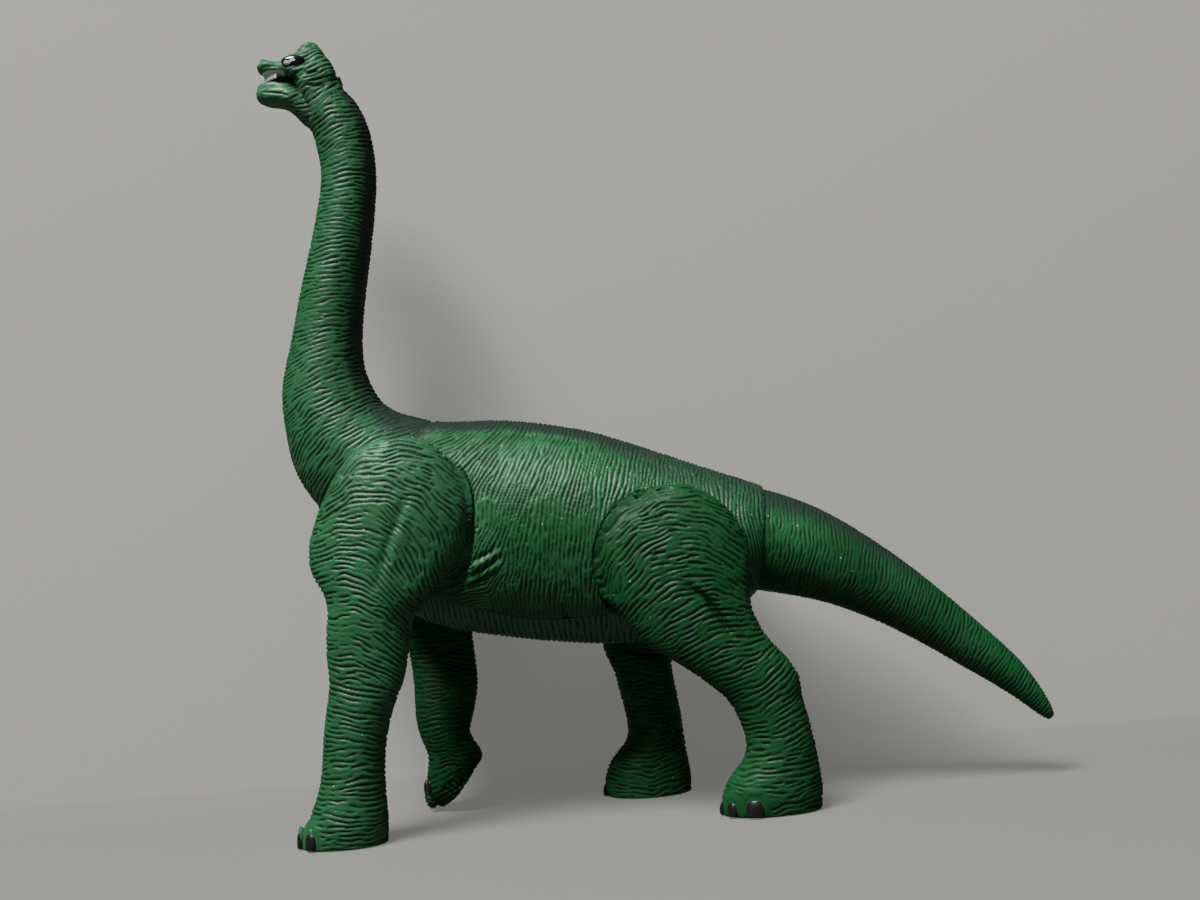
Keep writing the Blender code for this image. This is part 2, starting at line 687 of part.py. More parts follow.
def main():
    for leftover in list(bpy.data.objects):
        bpy.data.objects.remove(leftover)

    shoulders = {side: joint_at(SHOULDER_SHARES, side) for side in (-1, 1)}
    haunches = {side: joint_at(HAUNCH_SHARES, side) for side in (-1, 1)}
    joints = {
        "left_foreleg": (shoulders[-1], SHOULDER_RADIUS, LEFT_RELIEF_SHARES, -1),
        "right_foreleg": (shoulders[1], SHOULDER_RADIUS, RIGHT_RELIEF_SHARES, 1),
        "left_hind_leg": (haunches[-1], HAUNCH_RADIUS, HAUNCH_RELIEF_SHARES, -1),
        "right_hind_leg": (haunches[1], HAUNCH_RADIUS, HAUNCH_RELIEF_SHARES, 1),
    }
    torso = build_torso(joints)
    belly_plate = build_belly_plate()

    neck, neck_foot, neck_inwards = build_neck()
    add_wall_hole(torso, "neck", NECK_STEM_RADIUS, neck_foot, neck_inwards)
    tail, tail_foot, tail_inwards = build_tail()
    add_wall_hole(torso, "tail", TAIL_STEM_RADIUS, tail_foot, tail_inwards)
    head, head_face, head_inwards = build_head()
    add_socket(neck, "head", HEAD_STEM_RADIUS, HEAD_STEM_LENGTH, head_face, head_inwards)

    legs = {
        "left_foreleg": (
            SHOULDER_TOP_SHARES + LEFT_SHOULDER_SHARES, LEFT_FORELEG_SHARES, LEFT_FORELEG_REACH,
            FORELEG_DEPTH, FORELEG_CLEARING, FORE_CLAW_ANGLES,
        ),
        "right_foreleg": (
            SHOULDER_TOP_SHARES + RIGHT_SHOULDER_SHARES, RIGHT_FORELEG_SHARES, RIGHT_FORELEG_REACH,
            FORELEG_DEPTH, FORELEG_CLEARING, FORE_CLAW_ANGLES,
        ),
        "left_hind_leg": (
            HAUNCH_TOP_SHARES + LEFT_HAUNCH_SHARES, LEFT_HIND_SHARES, LEFT_HIND_REACH,
            HIND_LEG_DEPTH, HIND_LEG_CLEARING, HIND_CLAW_ANGLES,
        ),
        "right_hind_leg": (
            HAUNCH_TOP_SHARES + RIGHT_HAUNCH_SHARES, RIGHT_HIND_SHARES, RIGHT_HIND_REACH,
            HIND_LEG_DEPTH, HIND_LEG_CLEARING, HIND_CLAW_ANGLES,
        ),
    }
    pivots = {neck: neck_foot, tail: tail_foot, head: head_face}
    for name, plan in legs.items():
        joint, radius, _, _ = joints[name]
        leg, face_centre, inwards = build_leg(name, joint, radius, *plan)
        add_wall_hole(torso, name, LEG_STEM_RADIUS, face_centre, inwards)
        pivots[leg] = face_centre

    green = vinyl("green_vinyl", (0.020, 0.160, 0.045), 0.45)
    dark_green = vinyl("dark_green_vinyl", (0.016, 0.085, 0.036), 0.5)
    for piece in (torso, *pivots):
        piece.data.materials.append(green)
    belly_plate.data.materials.append(dark_green)
    for piece, place in pivots.items():
        set_origin(piece, place)

    stand_over_origin([torso, belly_plate, *pivots])


main()
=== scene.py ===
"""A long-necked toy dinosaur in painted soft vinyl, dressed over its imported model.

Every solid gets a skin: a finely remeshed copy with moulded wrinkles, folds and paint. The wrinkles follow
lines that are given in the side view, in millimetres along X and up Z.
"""

import json
import math

import bmesh
import bpy
import numpy as np
from bpy.props import FloatProperty, FloatVectorProperty, PointerProperty
from mathutils import Matrix, Vector, noise
from mathutils.bvhtree import BVHTree
from mathutils.kdtree import KDTree


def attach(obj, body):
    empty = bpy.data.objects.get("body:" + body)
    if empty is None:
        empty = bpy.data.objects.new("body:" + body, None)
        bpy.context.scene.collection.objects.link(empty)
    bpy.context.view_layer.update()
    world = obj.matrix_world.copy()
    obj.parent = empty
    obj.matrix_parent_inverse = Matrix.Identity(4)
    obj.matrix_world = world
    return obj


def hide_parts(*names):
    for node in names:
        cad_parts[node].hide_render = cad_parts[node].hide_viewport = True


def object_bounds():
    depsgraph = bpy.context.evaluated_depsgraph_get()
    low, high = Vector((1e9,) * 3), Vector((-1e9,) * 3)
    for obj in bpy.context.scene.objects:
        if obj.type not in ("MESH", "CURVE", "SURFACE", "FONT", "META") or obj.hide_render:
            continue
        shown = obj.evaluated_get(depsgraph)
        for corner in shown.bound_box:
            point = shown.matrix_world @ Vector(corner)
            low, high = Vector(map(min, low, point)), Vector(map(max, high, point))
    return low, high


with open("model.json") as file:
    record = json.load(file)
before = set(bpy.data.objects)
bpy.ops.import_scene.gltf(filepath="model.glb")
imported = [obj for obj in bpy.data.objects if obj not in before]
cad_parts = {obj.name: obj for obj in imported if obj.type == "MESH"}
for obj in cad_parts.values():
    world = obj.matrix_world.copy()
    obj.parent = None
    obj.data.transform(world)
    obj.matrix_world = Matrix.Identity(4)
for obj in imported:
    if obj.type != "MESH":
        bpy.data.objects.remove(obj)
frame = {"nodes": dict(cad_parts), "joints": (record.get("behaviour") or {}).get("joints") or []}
CAD_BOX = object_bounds()

bl_info = {
    "name": "Vinyl Long-Necked Dinosaur",
    "version": (1, 0, 0),
    "blender": (4, 5, 0),
    "location": "3D View > Sidebar > Dinosaur",
    "description": "Dresses the packed toy dinosaur with wrinkled, painted vinyl skins",
    "category": "Object",
}

MM = 0.001

# Wrinkle lines in the side view: place along and up in millimetres, then the line's slope in degrees
NECK_LINES = (
    (-70, 164, 27), (-67, 160, 20), (-63, 162, 12), (-67, 154, 10), (-62, 154, -3), (-67, 143, -4),
    (-61, 143, -10), (-70, 130, -2), (-65, 130, -6), (-75, 117, 4), (-68, 116, 2), (-79, 106, 22),
    (-73, 105, 12), (-67, 105, 5), (-81, 95, 40), (-74, 96, 27), (-66, 98, 19), (-81, 87, 57),
    (-75, 88, 43), (-66, 92, 28), (-78, 81, 57), (-74, 83, 51), (-57, 93, 10), (-50, 92, 15),
)
TORSO_LINES = (
    (-48, 90, 21), (-40, 90, 36), (-41, 80, 51), (-41, 72, 75), (-33, 86, 49), (-33, 79, 64),
    (-33, 60, 81), (-25, 86, 60), (-22, 78, 69), (-23, 67, 79), (-24, 55, 84), (-13, 84, 70),
    (-14, 74, 75), (-14, 60, 80), (-4, 81, 78), (6, 77, 82), (17, 73, 84), (20, 60, 95), (20, 50, 100),
    (-41, 63, 55), (-39, 58, 52), (-44, 57, 25), (-38, 51, 95), (-51, 52, -13), (-42, 52, 4),
    (-74, 70, 55), (-66, 58, 60),
)
BELLY_LINES = ((-60, 52, 96), (-51, 50, 93), (-38, 45, 93), (-25, 43, 92), (-12, 42, 88), (5, 43, 85))
TAIL_LINES = (
    (25, 66, 80), (24, 57, 76), (25, 50, 62), (35, 61, 85), (34, 52, 73), (35, 45, 50), (46, 53, 76),
    (45, 42, 46), (56, 43, 64), (55, 36, 48), (67, 36, 62), (73, 26, 50), (79, 21, 44),
)
SHOULDER_LINES = (
    (-70, 83, 41), (-61, 86, 5), (-52, 86, -12), (-47, 81, -39), (-73, 76, 34), (-64, 80, -3),
    (-55, 79, -28), (-49, 74, -54), (-74, 68, 15), (-69, 69, -9), (-62, 69, -29), (-58, 71, -48),
    (-54, 68, -51), (-48, 63, -81), (-74, 61, 9), (-67, 61, -22), (-62, 60, -49), (-58, 62, -63),
    (-54, 60, -75), (-50, 57, -75),
)
LEFT_FORELEG_LINES = SHOULDER_LINES + (
    (-72, 52, 2), (-66, 52, -22), (-60, 49, -49), (-73, 41, -3), (-66, 41, -32), (-60, 40, -44),
    (-74, 28, -7), (-68, 28, -16), (-73, 17, 3), (-67, 17, -1), (-76, 9, -5), (-69, 6, 1), (-80, 11, 1),
)
RIGHT_FORELEG_LINES = SHOULDER_LINES + (
    (-60, 50, -10), (-54, 50, -30), (-58, 37, 5), (-51, 37, -11), (-57, 25, 2), (-52, 25, -5),
    (-57, 16, 8), (-51, 14, -12), (-58, 6, 20), (-52, 6, 30),
)
HAUNCH_LINES = (
    (-10, 71, 28), (-5, 73, 23), (4, 73, -1), (11, 69, -23), (15, 61, -41), (-12, 65, 43), (-3, 66, 20),
    (5, 66, -8), (11, 57, -33), (14, 50, -33), (-15, 59, 66), (-8, 58, 37), (0, 57, 7), (6, 53, 1),
)
LEFT_HIND_LINES = HAUNCH_LINES + (
    (12, 46, -3), (-13, 52, 74), (-7, 49, 45), (-1, 47, 30), (6, 44, 23), (14, 39, 9), (-1, 40, 27),
    (5, 35, 26), (14, 32, 25), (22, 32, 38), (7, 31, 22), (13, 26, 24), (22, 25, 33), (15, 17, 3),
    (23, 16, 15), (12, 11, 0), (20, 8, 1), (27, 9, 7), (24, 3, 11),
)
RIGHT_HIND_LINES = HAUNCH_LINES + (
    (12, 46, -10), (-13, 50, 40), (-7, 46, 20), (0, 44, 0), (-10, 31, -2), (-3, 31, -12), (-9, 17, -3),
    (-2, 16, 5), (-12, 7, -6), (-2, 6, 10),
)
HEAD_LINES = (
    (-69, 176, 30), (-72, 172, 26), (-67, 170, 30), (-66, 166, 28), (-75, 170, 22), (-80, 172, 5),
    (-80, 164, -10), (-75, 162, 0), (-71, 161, 24),
)

# Folds pressed into a skin in the side view: half width, depth (below zero if raised), then places, in mm
ARMPIT_FOLDS = (
    (0.55, 0.60, ((-36.5, 63.5), (-39.5, 61.8), (-43.5, 60.2), (-46.5, 57.6), (-49.5, 56.4))),
    (0.55, 0.70, ((-35.8, 61.8), (-39, 59.4), (-43, 57.4), (-47, 55.8), (-51, 55))),
    (0.55, 0.60, ((-36, 58.8), (-40, 56.6), (-44.5, 55), (-49, 53.8), (-52, 53.2))),
    (0.8, -0.45, ((-35.8, 63), (-39.2, 60.6), (-43.2, 58.8), (-47, 56.6), (-50, 55.6))),
    (0.8, -0.45, ((-35.6, 60.4), (-39.4, 58), (-43.8, 56.2), (-48, 54.8), (-51.5, 54.2))),
)
FORELEG_FOLDS = (
    (1.1, 0.42, ((-54.5, 77.5), (-57, 73.5), (-59.5, 68), (-62.8, 60.5), (-64, 55.5))),
    (1.5, -0.25, ((-56, 71), (-58, 66), (-60.3, 60), (-61.5, 54))),
)
PAD_PLACES = ((-56.2, 6.5), (-55, 5.3), (-53.8, 4.1))
SOLE_PADS = tuple(
    (0.36, 0.8, tuple((along + step, up + 0.85 * step) for along, up in PAD_PLACES)) for step in range(8)
)
HAUNCH_FOLDS = (
    (0.75, 1.1, ((2.6, 52.5), (7.6, 48.4), (10.2, 44.3), (13.3, 38.6))),
    (1.3, -0.4, ((4.5, 53), (9.6, 48.6), (12.2, 44.5), (14.8, 40))),
    (1.2, 0.45, ((-5, 70.5), (0.5, 66.2), (4.7, 59.8))),
    (1.2, 0.40, ((-4, 61), (-1.1, 57.2), (0, 51))),
)
BACK_FOLDS = ((0.8, 0.4, ((-44, 89.2), (-26, 87), (-14, 84), (-1.2, 78.8), (12, 73.4))),)
HEAD_FOLDS = (
    (0.35, 0.35, ((-83.5, 175.6), (-81, 175.4), (-78.6, 175.2))),
    (0.65, 0.25, ((-75.6, 172), (-75, 169.2), (-73.6, 166), (-72.4, 163))),
    (0.35, 0.35, ((-74.2, 174), (-72.2, 172.8), (-69.4, 173.2))),
    (0.35, 0.35, ((-73.8, 170.8), (-71.2, 169.8), (-68, 170.2))),
    (0.30, 0.30, ((-84, 169.9), (-81.4, 169.5), (-78.7, 168.9), (-76.6, 168))),
)
# Swellings of the head: place along and up, half length, half height, slope in degrees and height, in mm
HEAD_SWELLINGS = (
    (-82.2, 176, 1.8, 1, 0, 0.5), (-83, 177.3, 0.7, 0.5, 0, 0.45), (-76.2, 178.2, 2.4, 0.55, -8, 0.6),
    (-75.8, 174, 2.6, 0.5, -6, 0.45), (-72.4, 171.2, 2.2, 2, 0, 0.55), (-76.4, 168.8, 2.2, 1.2, 12, 0.45),
    (-81.2, 171.2, 3, 0.4, -4, 0.4), (-72.2, 176.6, 1.3, 1.1, 0, -0.35), (-79.4, 175.6, 1.2, 0.7, 0, -0.3),
    (-83.9, 176.6, 0.35, 0.3, 0, -0.5), (-70.2, 178.8, 1.3, 1, -50, 0.45), (-74.6, 179.2, 1, 0.9, 40, 0.4),
    (-81, 171.7, 3.2, 0.6, -4, 0.6),
)
# How far the head's outline is drawn over: place along and up, then the shift along and up, in mm
HEAD_SHIFTS = (
    (-74.0, 181.0, 1.2, 0.1), (-77.8, 179.2, 1.8, -1.2), (-80.5, 178.0, 0.8, -0.5), (-85.5, 176.2, 1.3, -0.4),
    (-82.5, 173.4, 0.5, -0.6), (-86.0, 171.2, 1.7, 0.1), (-85.8, 168.8, 0.3, 0.0), (-77.0, 164.8, 0.9, 0.0),
    (-66.8, 174.6, 0.7, 0.3), (-68.0, 162.0, 0.0, 0.0), (-70.0, 168.0, 0.0, 0.0), (-80.0, 167.0, 0.0, 0.0),
)
# The toe of the bent forefoot is drawn fuller in the same way
BENT_FOOT_SHIFTS = (
    (-57.5, 1.5, 2.6, 0.0), (-54.5, 4.5, 2.0, -0.9), (-51.5, 7.5, 1.1, -0.6), (-62.0, 4.0, 0.2, 0.0),
    (-61.0, 9.0, 0.0, 0.0), (-55.0, 12.0, 0.0, 0.0), (-48.0, 11.0, 0.3, 0.0), (-50.0, 16.0, 0.0, 0.0),
)
SHIFTS = {"head": HEAD_SHIFTS, "right_foreleg": BENT_FOOT_SHIFTS}

# Painted marks on the head: half width and places, in mm
BLACK_MARKS = ((0.8, ((-79.4, 172.2), (-77.5, 172.3), (-75.7, 172.3))),)
SILVER_MARKS = ((0.9, ((-83.9, 173.6), (-81.5, 173.8), (-78.9, 173.7))),)
SKIN_FOLDS = {
    "torso_shell": ARMPIT_FOLDS + BACK_FOLDS,
    "left_foreleg": FORELEG_FOLDS + ARMPIT_FOLDS,
    "right_foreleg": FORELEG_FOLDS + ARMPIT_FOLDS + SOLE_PADS,
    "left_hind_leg": HAUNCH_FOLDS,
    "right_hind_leg": HAUNCH_FOLDS,
    "head": HEAD_FOLDS,
}

# Seams to close up: the joint that they are square to, then how far along its axis the solid's cut face lies
# and how far it moves, in mm
SEAMS = {
    "torso_shell": (("neck_swivel", -0.3, 0.12), ("tail_swivel", -0.3, 0.12)),
    "neck": (("neck_swivel", 0, -0.12), ("head_swivel", -0.3, 0.12)),
    "head": (("head_swivel", 0, -0.12),),
    "tail": (("tail_swivel", 0, -0.12),),
}


class Foot:
    """The middle of a flat sole, its half depth and half width in mm, which side it is on and its claws."""

    def __init__(self, along, across, half_depth, half_width, claws):
        self.middle = Vector((along, across, 0))
        self.half_depth = half_depth
        self.half_width = half_width
        self.side = math.copysign(1, across)
        self.claws = claws

    def edge(self, angle):
        """The rim of the sole at an angle from its front towards the outer side, and the way out there."""
        along = -math.cos(angle) * self.half_depth
        across = self.side * math.sin(angle) * self.half_width
        way = Vector((along / self.half_depth ** 2, across / self.half_width ** 2, 0)).normalized()
        return self.middle + Vector((along, across, 0)), way


# Claws: degrees from the front towards the outer side, width and height in mm
HIND_CLAWS = ((2, 2.4, 3.6), (32, 2.7, 4.1), (65, 4.0, 4.9))
FORE_CLAWS = ((-30, 2.2, 4.0), (10, 2.4, 4.6), (46, 2.8, 4.8))
# Claws of the bent foot: place across and up, width and height, in mm
BENT_CLAWS = ((12.6, 5.2, 2.2, 4.8), (16.4, 4.6, 2.4, 5.0), (20.2, 5.2, 2.2, 4.8))
# Radius of the legs' round discs, in mm
DISC_RADIUS = {"left_foreleg": 17.2, "right_foreleg": 17.2, "left_hind_leg": 17.3, "right_hind_leg": 17.3}
LEGS = tuple(DISC_RADIUS)
# How glossy the skins are that shine less than the rest
SHINE = {"left_hind_leg": 0.4, "right_hind_leg": 0.3, "right_foreleg": 0.1, "tail": 0.6}
# Painted highlight and shade over a whole skin: how much paler it is painted as a highlight, below zero where
# it is painted deeper as shade
PAINTED_LIGHT = {"left_hind_leg": -0.5, "right_foreleg": -0.6, "belly_plate": 1, "head": 0.85, "neck": 0.3}
FEET = {
    "left_foreleg": Foot(-75.9, -15.4, 9.7, 6.7, FORE_CLAWS),
    "left_hind_leg": Foot(19.1, -15.5, 11, 6.8, HIND_CLAWS),
    "right_hind_leg": Foot(-7.4, 15.5, 10.2, 6.7, HIND_CLAWS),
}

SEAM_LINE = 0.18 * MM
SEAM_REACH = 0.5 * MM
DISC_REACH = 1.1 * MM
MOST_TRIANGLES = 190000


class Skin:
    """How one solid is dressed.

    It holds its body, its wrinkle lines, the fineness of its mesh, the pitch and depth of its wrinkles in mm,
    how far they waver, how much they are broken up into strokes, and the seed of its random draws.
    """

    def __init__(self, body, lines, mesh_size, pitch, depth, waver, broken, seed):
        self.body = body
        self.lines = lines
        self.mesh_size = mesh_size
        self.pitch = pitch
        self.depth = depth
        self.waver = waver
        self.broken = broken
        self.seed = seed


SKINS = {
    "torso_shell": Skin("torso", TORSO_LINES, 0.30, 0.95, 0.44, 0.09, 0.3, 1),
    "belly_plate": Skin("torso", BELLY_LINES, 0.28, 1.25, 0.42, 0.12, 0.2, 2),
    "neck": Skin("neck", NECK_LINES, 0.28, 1.02, 0.29, 0.28, 0.45, 3),
    "head": Skin("head", HEAD_LINES, 0.17, 1.05, 0.22, 0.35, 0.5, 4),
    "tail": Skin("tail", TAIL_LINES, 0.26, 1.0, 0.22, 0.2, 0.4, 5),
    "left_foreleg": Skin("left_foreleg", LEFT_FORELEG_LINES, 0.26, 1.12, 0.36, 0.3, 0.55, 6),
    "right_foreleg": Skin("right_foreleg", RIGHT_FORELEG_LINES, 0.26, 1.12, 0.36, 0.3, 0.55, 7),
    "left_hind_leg": Skin("left_hind_leg", LEFT_HIND_LINES, 0.26, 1.15, 0.37, 0.3, 0.55, 8),
    "right_hind_leg": Skin("right_hind_leg", RIGHT_HIND_LINES, 0.26, 1.15, 0.37, 0.3, 0.55, 9),
}


def deselect_all():
    for other in bpy.context.selected_objects:
        other.select_set(False)


def make_active(piece):
    deselect_all()
    piece.select_set(True)
    bpy.context.view_layer.objects.active = piece


def apply_modifiers(piece):
    make_active(piece)
    for modifier in list(piece.modifiers):
        bpy.ops.object.modifier_apply(modifier=modifier.name)


def new_object(name, data):
    made = bpy.data.objects.new(name, data)
    bpy.context.scene.collection.objects.link(made)
    return made


def joint_of(key, name):
    """The joint with a name, or the one that moves a child."""
    return next(joint for joint in frame["joints"] if joint[key] == name)


def merged_copy(node, name):
    """A closed copy of a solid, which the frame holds as loose triangles."""
    mesh = frame["nodes"][node].data.copy()
    mesh.materials.clear()
    shape = bmesh.new()
    shape.from_mesh(mesh)
    bmesh.ops.remove_doubles(shape, verts=shape.verts, dist=0.001 * MM)
    shape.to_mesh(mesh)
    shape.free()
    return new_object(name, mesh)


def round_off(piece):
    """Makes the surface between its sharp rims smooth."""
    shape = bmesh.new()
    shape.from_mesh(piece.data)
    crease = shape.edges.layers.float.new("crease_edge")
    for edge in shape.edges:
        edge[crease] = edge.calc_face_angle(0) > math.radians(48)
    shape.to_mesh(piece.data)
    shape.free()
    smooth = piece.modifiers.new("smooth", "SUBSURF")
    smooth.levels = 2
    smooth.render_levels = 2


def close_seams(node, mesh):
    """Moves the cut faces at the swivels towards their neighbours, so that the seams are fine lines."""
    points = read_points(mesh)
    for joint_name, level, shift in SEAMS.get(node, ()):
        joint = joint_of("name", joint_name)
        axis = np.array(joint["axis"])
        along = (points - np.array(joint["pos_m"])) @ axis
        cut = np.abs(along - level * MM) < 0.02 * MM
        points[cut] += axis * shift * MM
    write_points(mesh, points)


def tuck_toes(points, foot):
    """Trims the plain toe lumps back to the rim of the sole, where the finer claws go."""
    offset = points / MM - np.array(foot.middle)
    angle = np.arctan2(foot.side * offset[:, 1] / foot.half_width, -offset[:, 0] / foot.half_depth)
    reach = np.hypot(offset[:, 0] / foot.half_depth, offset[:, 1] / foot.half_width)
    amount = (1 - smooth_step(4.6, 6.0, offset[:, 2])) * (1 - smooth_step(1.2, 1.5, np.abs(angle)))
    share = 1 + (np.minimum(reach, 1.005) / np.maximum(reach, 1e-6) - 1) * amount
    points[:, :2] = (offset[:, :2] * share[:, None] + np.array(foot.middle)[:2]) * MM


def raise_toes(points, foot):
    """Lifts a toe and a rim of skin round each claw, and returns how far the wrinkles fade there."""
    lift = np.zeros(len(points))
    fade = np.ones(len(points))
    for degrees, width, height in foot.claws:
        place, way = foot.edge(math.radians(degrees))
        beside = np.array((-way.y, way.x, 0))
        offset = points / MM - np.array(place)
        across = offset @ beside / (width / 2)
        up = (offset[:, 2] - height * 0.5) / (height / 2)
        front = smooth_step(-2.5, -1, offset @ np.array(way))
        reach = np.hypot(across, up)
        lift += front * (0.42 * np.exp(-(reach / 1.55) ** 2) + 0.12 * np.exp(-((reach - 1.3) / 0.2) ** 2))
        fade *= 1 - front * (1 - smooth_step(1.5, 2.3, reach))
    return lift, fade


def fold_reach(points, half_width, path):
    """How far each point lies in a fold, from 0 to 1 along its middle, fading out at its ends."""
    path = np.array(path)
    spots = points[:, [0, 2]] / MM
    steps = np.linalg.norm(np.diff(path, axis=0), axis=1)
    starts = np.concatenate(([0], np.cumsum(steps)))
    nearest = np.full(len(points), np.inf)
    run = np.zeros(len(points))
    for index, step in enumerate(steps):
        way = (path[index + 1] - path[index]) / step
        along = np.clip((spots - path[index]) @ way, 0, step)
        gap = np.linalg.norm(spots - path[index] - along[:, None] * way, axis=1)
        closer = gap < nearest
        nearest[closer] = gap[closer]
        run[closer] = (starts[index] + along[closer]) / starts[-1]
    ends = smooth_step(0, 0.22, run) * smooth_step(0, 0.22, 1 - run)
    return np.exp(-(nearest / half_width) ** 2) * ends


def draw_over(points, shifts):
    """Moves the outline a little in the side view, most near each given place."""
    table = np.array(shifts)
    gap = points[:, None, [0, 2]] / MM - table[None, :, :2]
    weight = np.exp(-(gap ** 2).sum(2) / (2 * 2.0 ** 2))
    moved = weight @ table[:, 2:] / (weight.sum(1, keepdims=True) + 0.15)
    points[:, [0, 2]] += moved * MM


def swell(points, swellings):
    """Height of the rounded swellings at each point, in mm."""
    height = np.zeros(len(points))
    for along, up, half_length, half_height, degrees, rise in swellings:
        gap = points[:, [0, 2]] / MM - (along, up)
        turn = math.radians(degrees)
        run = gap @ (math.cos(turn), math.sin(turn)) / half_length
        lift = gap @ (-math.sin(turn), math.cos(turn)) / half_height
        height += rise * np.exp(-(run ** 2 + lift ** 2))
    return height


def mark_amount(points, marks):
    """1 inside painted marks, 0 outside."""
    amount = np.zeros(len(points))
    for half_width, path in marks:
        first, last = np.array(path[0]), np.array(path[-1])
        reach = (first - last) / np.linalg.norm(first - last) * half_width * 2
        longer = (tuple(first + reach), *path, tuple(last - reach))
        amount = np.maximum(amount, fold_reach(points, half_width, longer))
    return amount


def press_folds(points, normals, folds):
    """Depth of the folds at each point, in mm, on the surfaces that face sideways."""
    depth = np.zeros(len(points))
    sideways = np.clip(np.abs(normals[:, 1]) * 1.8 - 0.15, 0, 1)
    for half_width, fold_depth, path in folds:
        depth += fold_depth * fold_reach(points, half_width, path) * sideways
    return depth


def read_points(mesh):
    values = np.empty(len(mesh.vertices) * 3)
    mesh.vertices.foreach_get("co", values)
    return values.reshape(-1, 3)


def read_normals(mesh):
    values = np.empty(len(mesh.vertices) * 3, np.float32)
    mesh.vertex_normals.foreach_get("vector", values)
    return values.reshape(-1, 3).astype(float)


def write_points(mesh, points):
    mesh.vertices.foreach_set("co", points.ravel())
    mesh.update()


def kept_inside(points):
    """The points, with what stands out of the figure's box pressed back into it."""
    low, high = np.array(CAD_BOX)
    return np.clip(points, low + 0.03 * MM, high - 0.03 * MM)


def write_attribute(mesh, name, values):
    layer = mesh.attributes.new(name, "FLOAT", "POINT")
    layer.data.foreach_set("value", np.asarray(values, np.float32))


def smooth_step(low, high, values):
    share = np.clip((values - low) / (high - low), 0, 1)
    return share * share * (3 - 2 * share)


def solids_tree(names):
    """A search tree over some solids at rest."""
    points = []
    triangles = []
    for name in names:
        node = frame["nodes"][name]
        first = len(points)
        points.extend(vertex.co.copy() for vertex in node.data.vertices)
        triangles.extend([first + index for index in face.vertices] for face in node.data.polygons)
    return BVHTree.FromPolygons(points, triangles)


def sphere_directions(count):
    """Directions spread evenly over a sphere, on a spiral."""
    golden = math.pi * (3 - math.sqrt(5))
    directions = []
    for index in range(count):
        z = 1 - (2 * index + 1) / count
        reach = math.sqrt(1 - z * z)
        directions.append(Vector((reach * math.cos(golden * index), reach * math.sin(golden * index), z)))
    return directions


DIRECTIONS = sphere_directions(28)


def smooth_patches(shape, sharpest):
    """Lists of faces that meet at less than an angle."""
    patches = []
    seen = set()
    for first in shape.faces:
        if first in seen:
            continue
        seen.add(first)
        patch = [first]
        for face in patch:
            for edge in face.edges:
                if edge.calc_face_angle(math.pi) < sharpest:
                    fresh = [other for other in edge.link_faces if other not in seen]
                    seen.update(fresh)
                    patch.extend(fresh)
        patches.append(patch)
    return patches


def open_share(patch, tree):
    """Share of the directions that a patch faces in which it sees out of the body."""
    clear = 0
    whole = 0
    for face in patch:
        start = face.calc_center_median() + face.normal * 0.02 * MM
        for direction in DIRECTIONS:
            facing = direction.dot(face.normal)
            if facing > 0:
                amount = facing * face.calc_area()
                whole += amount
                clear += amount * (tree.ray_cast(start, direction)[0] is None)
    return clear / whole


def close_inside(mesh, tree):
    """Takes the walls of the body's hollow away and caps the holes that led to it."""
    shape = bmesh.new()
    shape.from_mesh(mesh)
    hidden = []
    for patch in smooth_patches(shape, math.radians(30)):
        if open_share(patch, tree) < 0.1:
            hidden.extend(patch)
    bmesh.ops.delete(shape, geom=hidden, context="FACES")
    bmesh.ops.holes_fill(shape, edges=[edge for edge in shape.edges if edge.is_boundary])
    bmesh.ops.triangulate(shape, faces=[face for face in shape.faces if len(face.verts) > 3])
    bmesh.ops.triangle_fill(shape, edges=[edge for edge in shape.edges if edge.is_boundary])
    bmesh.ops.recalc_face_normals(shape, faces=shape.faces)
    shape.to_mesh(mesh)
    shape.free()


def is_open(tree, place, normal):
    """Whether a place on a surface faces open air, not a neighbour, its own inside or the ground."""
    start = place + normal * 0.05 * MM
    if tree.ray_cast(start, normal, 0.45 * MM)[0] is not None:
        return False
    if place.z < 0.4 * MM and normal.z < -0.7:
        return False
    for direction in DIRECTIONS:
        if direction.dot(normal) > 0.2 and tree.ray_cast(start, direction)[0] is None:
            return True
    return False


def thinned(points, spacing, rng):
    """Indices of points spread about a spacing apart, in a random but repeatable order."""
    order = rng.permutation(len(points))
    cells = np.floor(points[order] / spacing).astype(np.int64)
    keys = (cells[:, 0] * 7919 + cells[:, 1]) * 104729 + cells[:, 2]
    _, first = np.unique(keys, return_index=True)
    return order[np.sort(first)]


def line_weights(points, lines):
    """How strongly each wrinkle line acts on each point, and the slopes of the lines."""
    places = np.array([(x, z) for x, z, _ in lines]) * MM
    gap = ((points[:, [0, 2]][:, None, :] - places[None]) ** 2).sum(2) + MM ** 2
    return gap ** -2.5, np.radians([slope for _, _, slope in lines])


def across_lines(points, normals, lines):
    """Unit vectors along the surface and square to the wrinkle lines, and how well they are defined."""
    weight, slopes = line_weights(points, lines)
    weight /= weight.sum(1, keepdims=True)
    across = np.zeros_like(points)
    across[:, 0] = -(weight * np.sin(slopes)).sum(1)
    across[:, 2] = (weight * np.cos(slopes)).sum(1)
    across /= np.linalg.norm(across, axis=1, keepdims=True)
    flat = across - normals * (across * normals).sum(1, keepdims=True)
    length = np.linalg.norm(flat, axis=1)
    return flat / np.maximum(length, 1e-6)[:, None], length


def pairs_within(points, places, radius):
    """Indices (place, point) of all pairs within a radius."""
    tree = KDTree(len(points))
    for index, point in enumerate(points):
        tree.insert(point, index)
    tree.balance()
    found = [[near[1] for near in tree.find_range(place, radius)] for place in places]
    place_index = np.repeat(np.arange(len(places)), [len(near) for near in found])
    return place_index, np.array([index for near in found for index in near])


def complex_sums(index, values, count):
    return np.bincount(index, values.real, count) + 1j * np.bincount(index, values.imag, count)


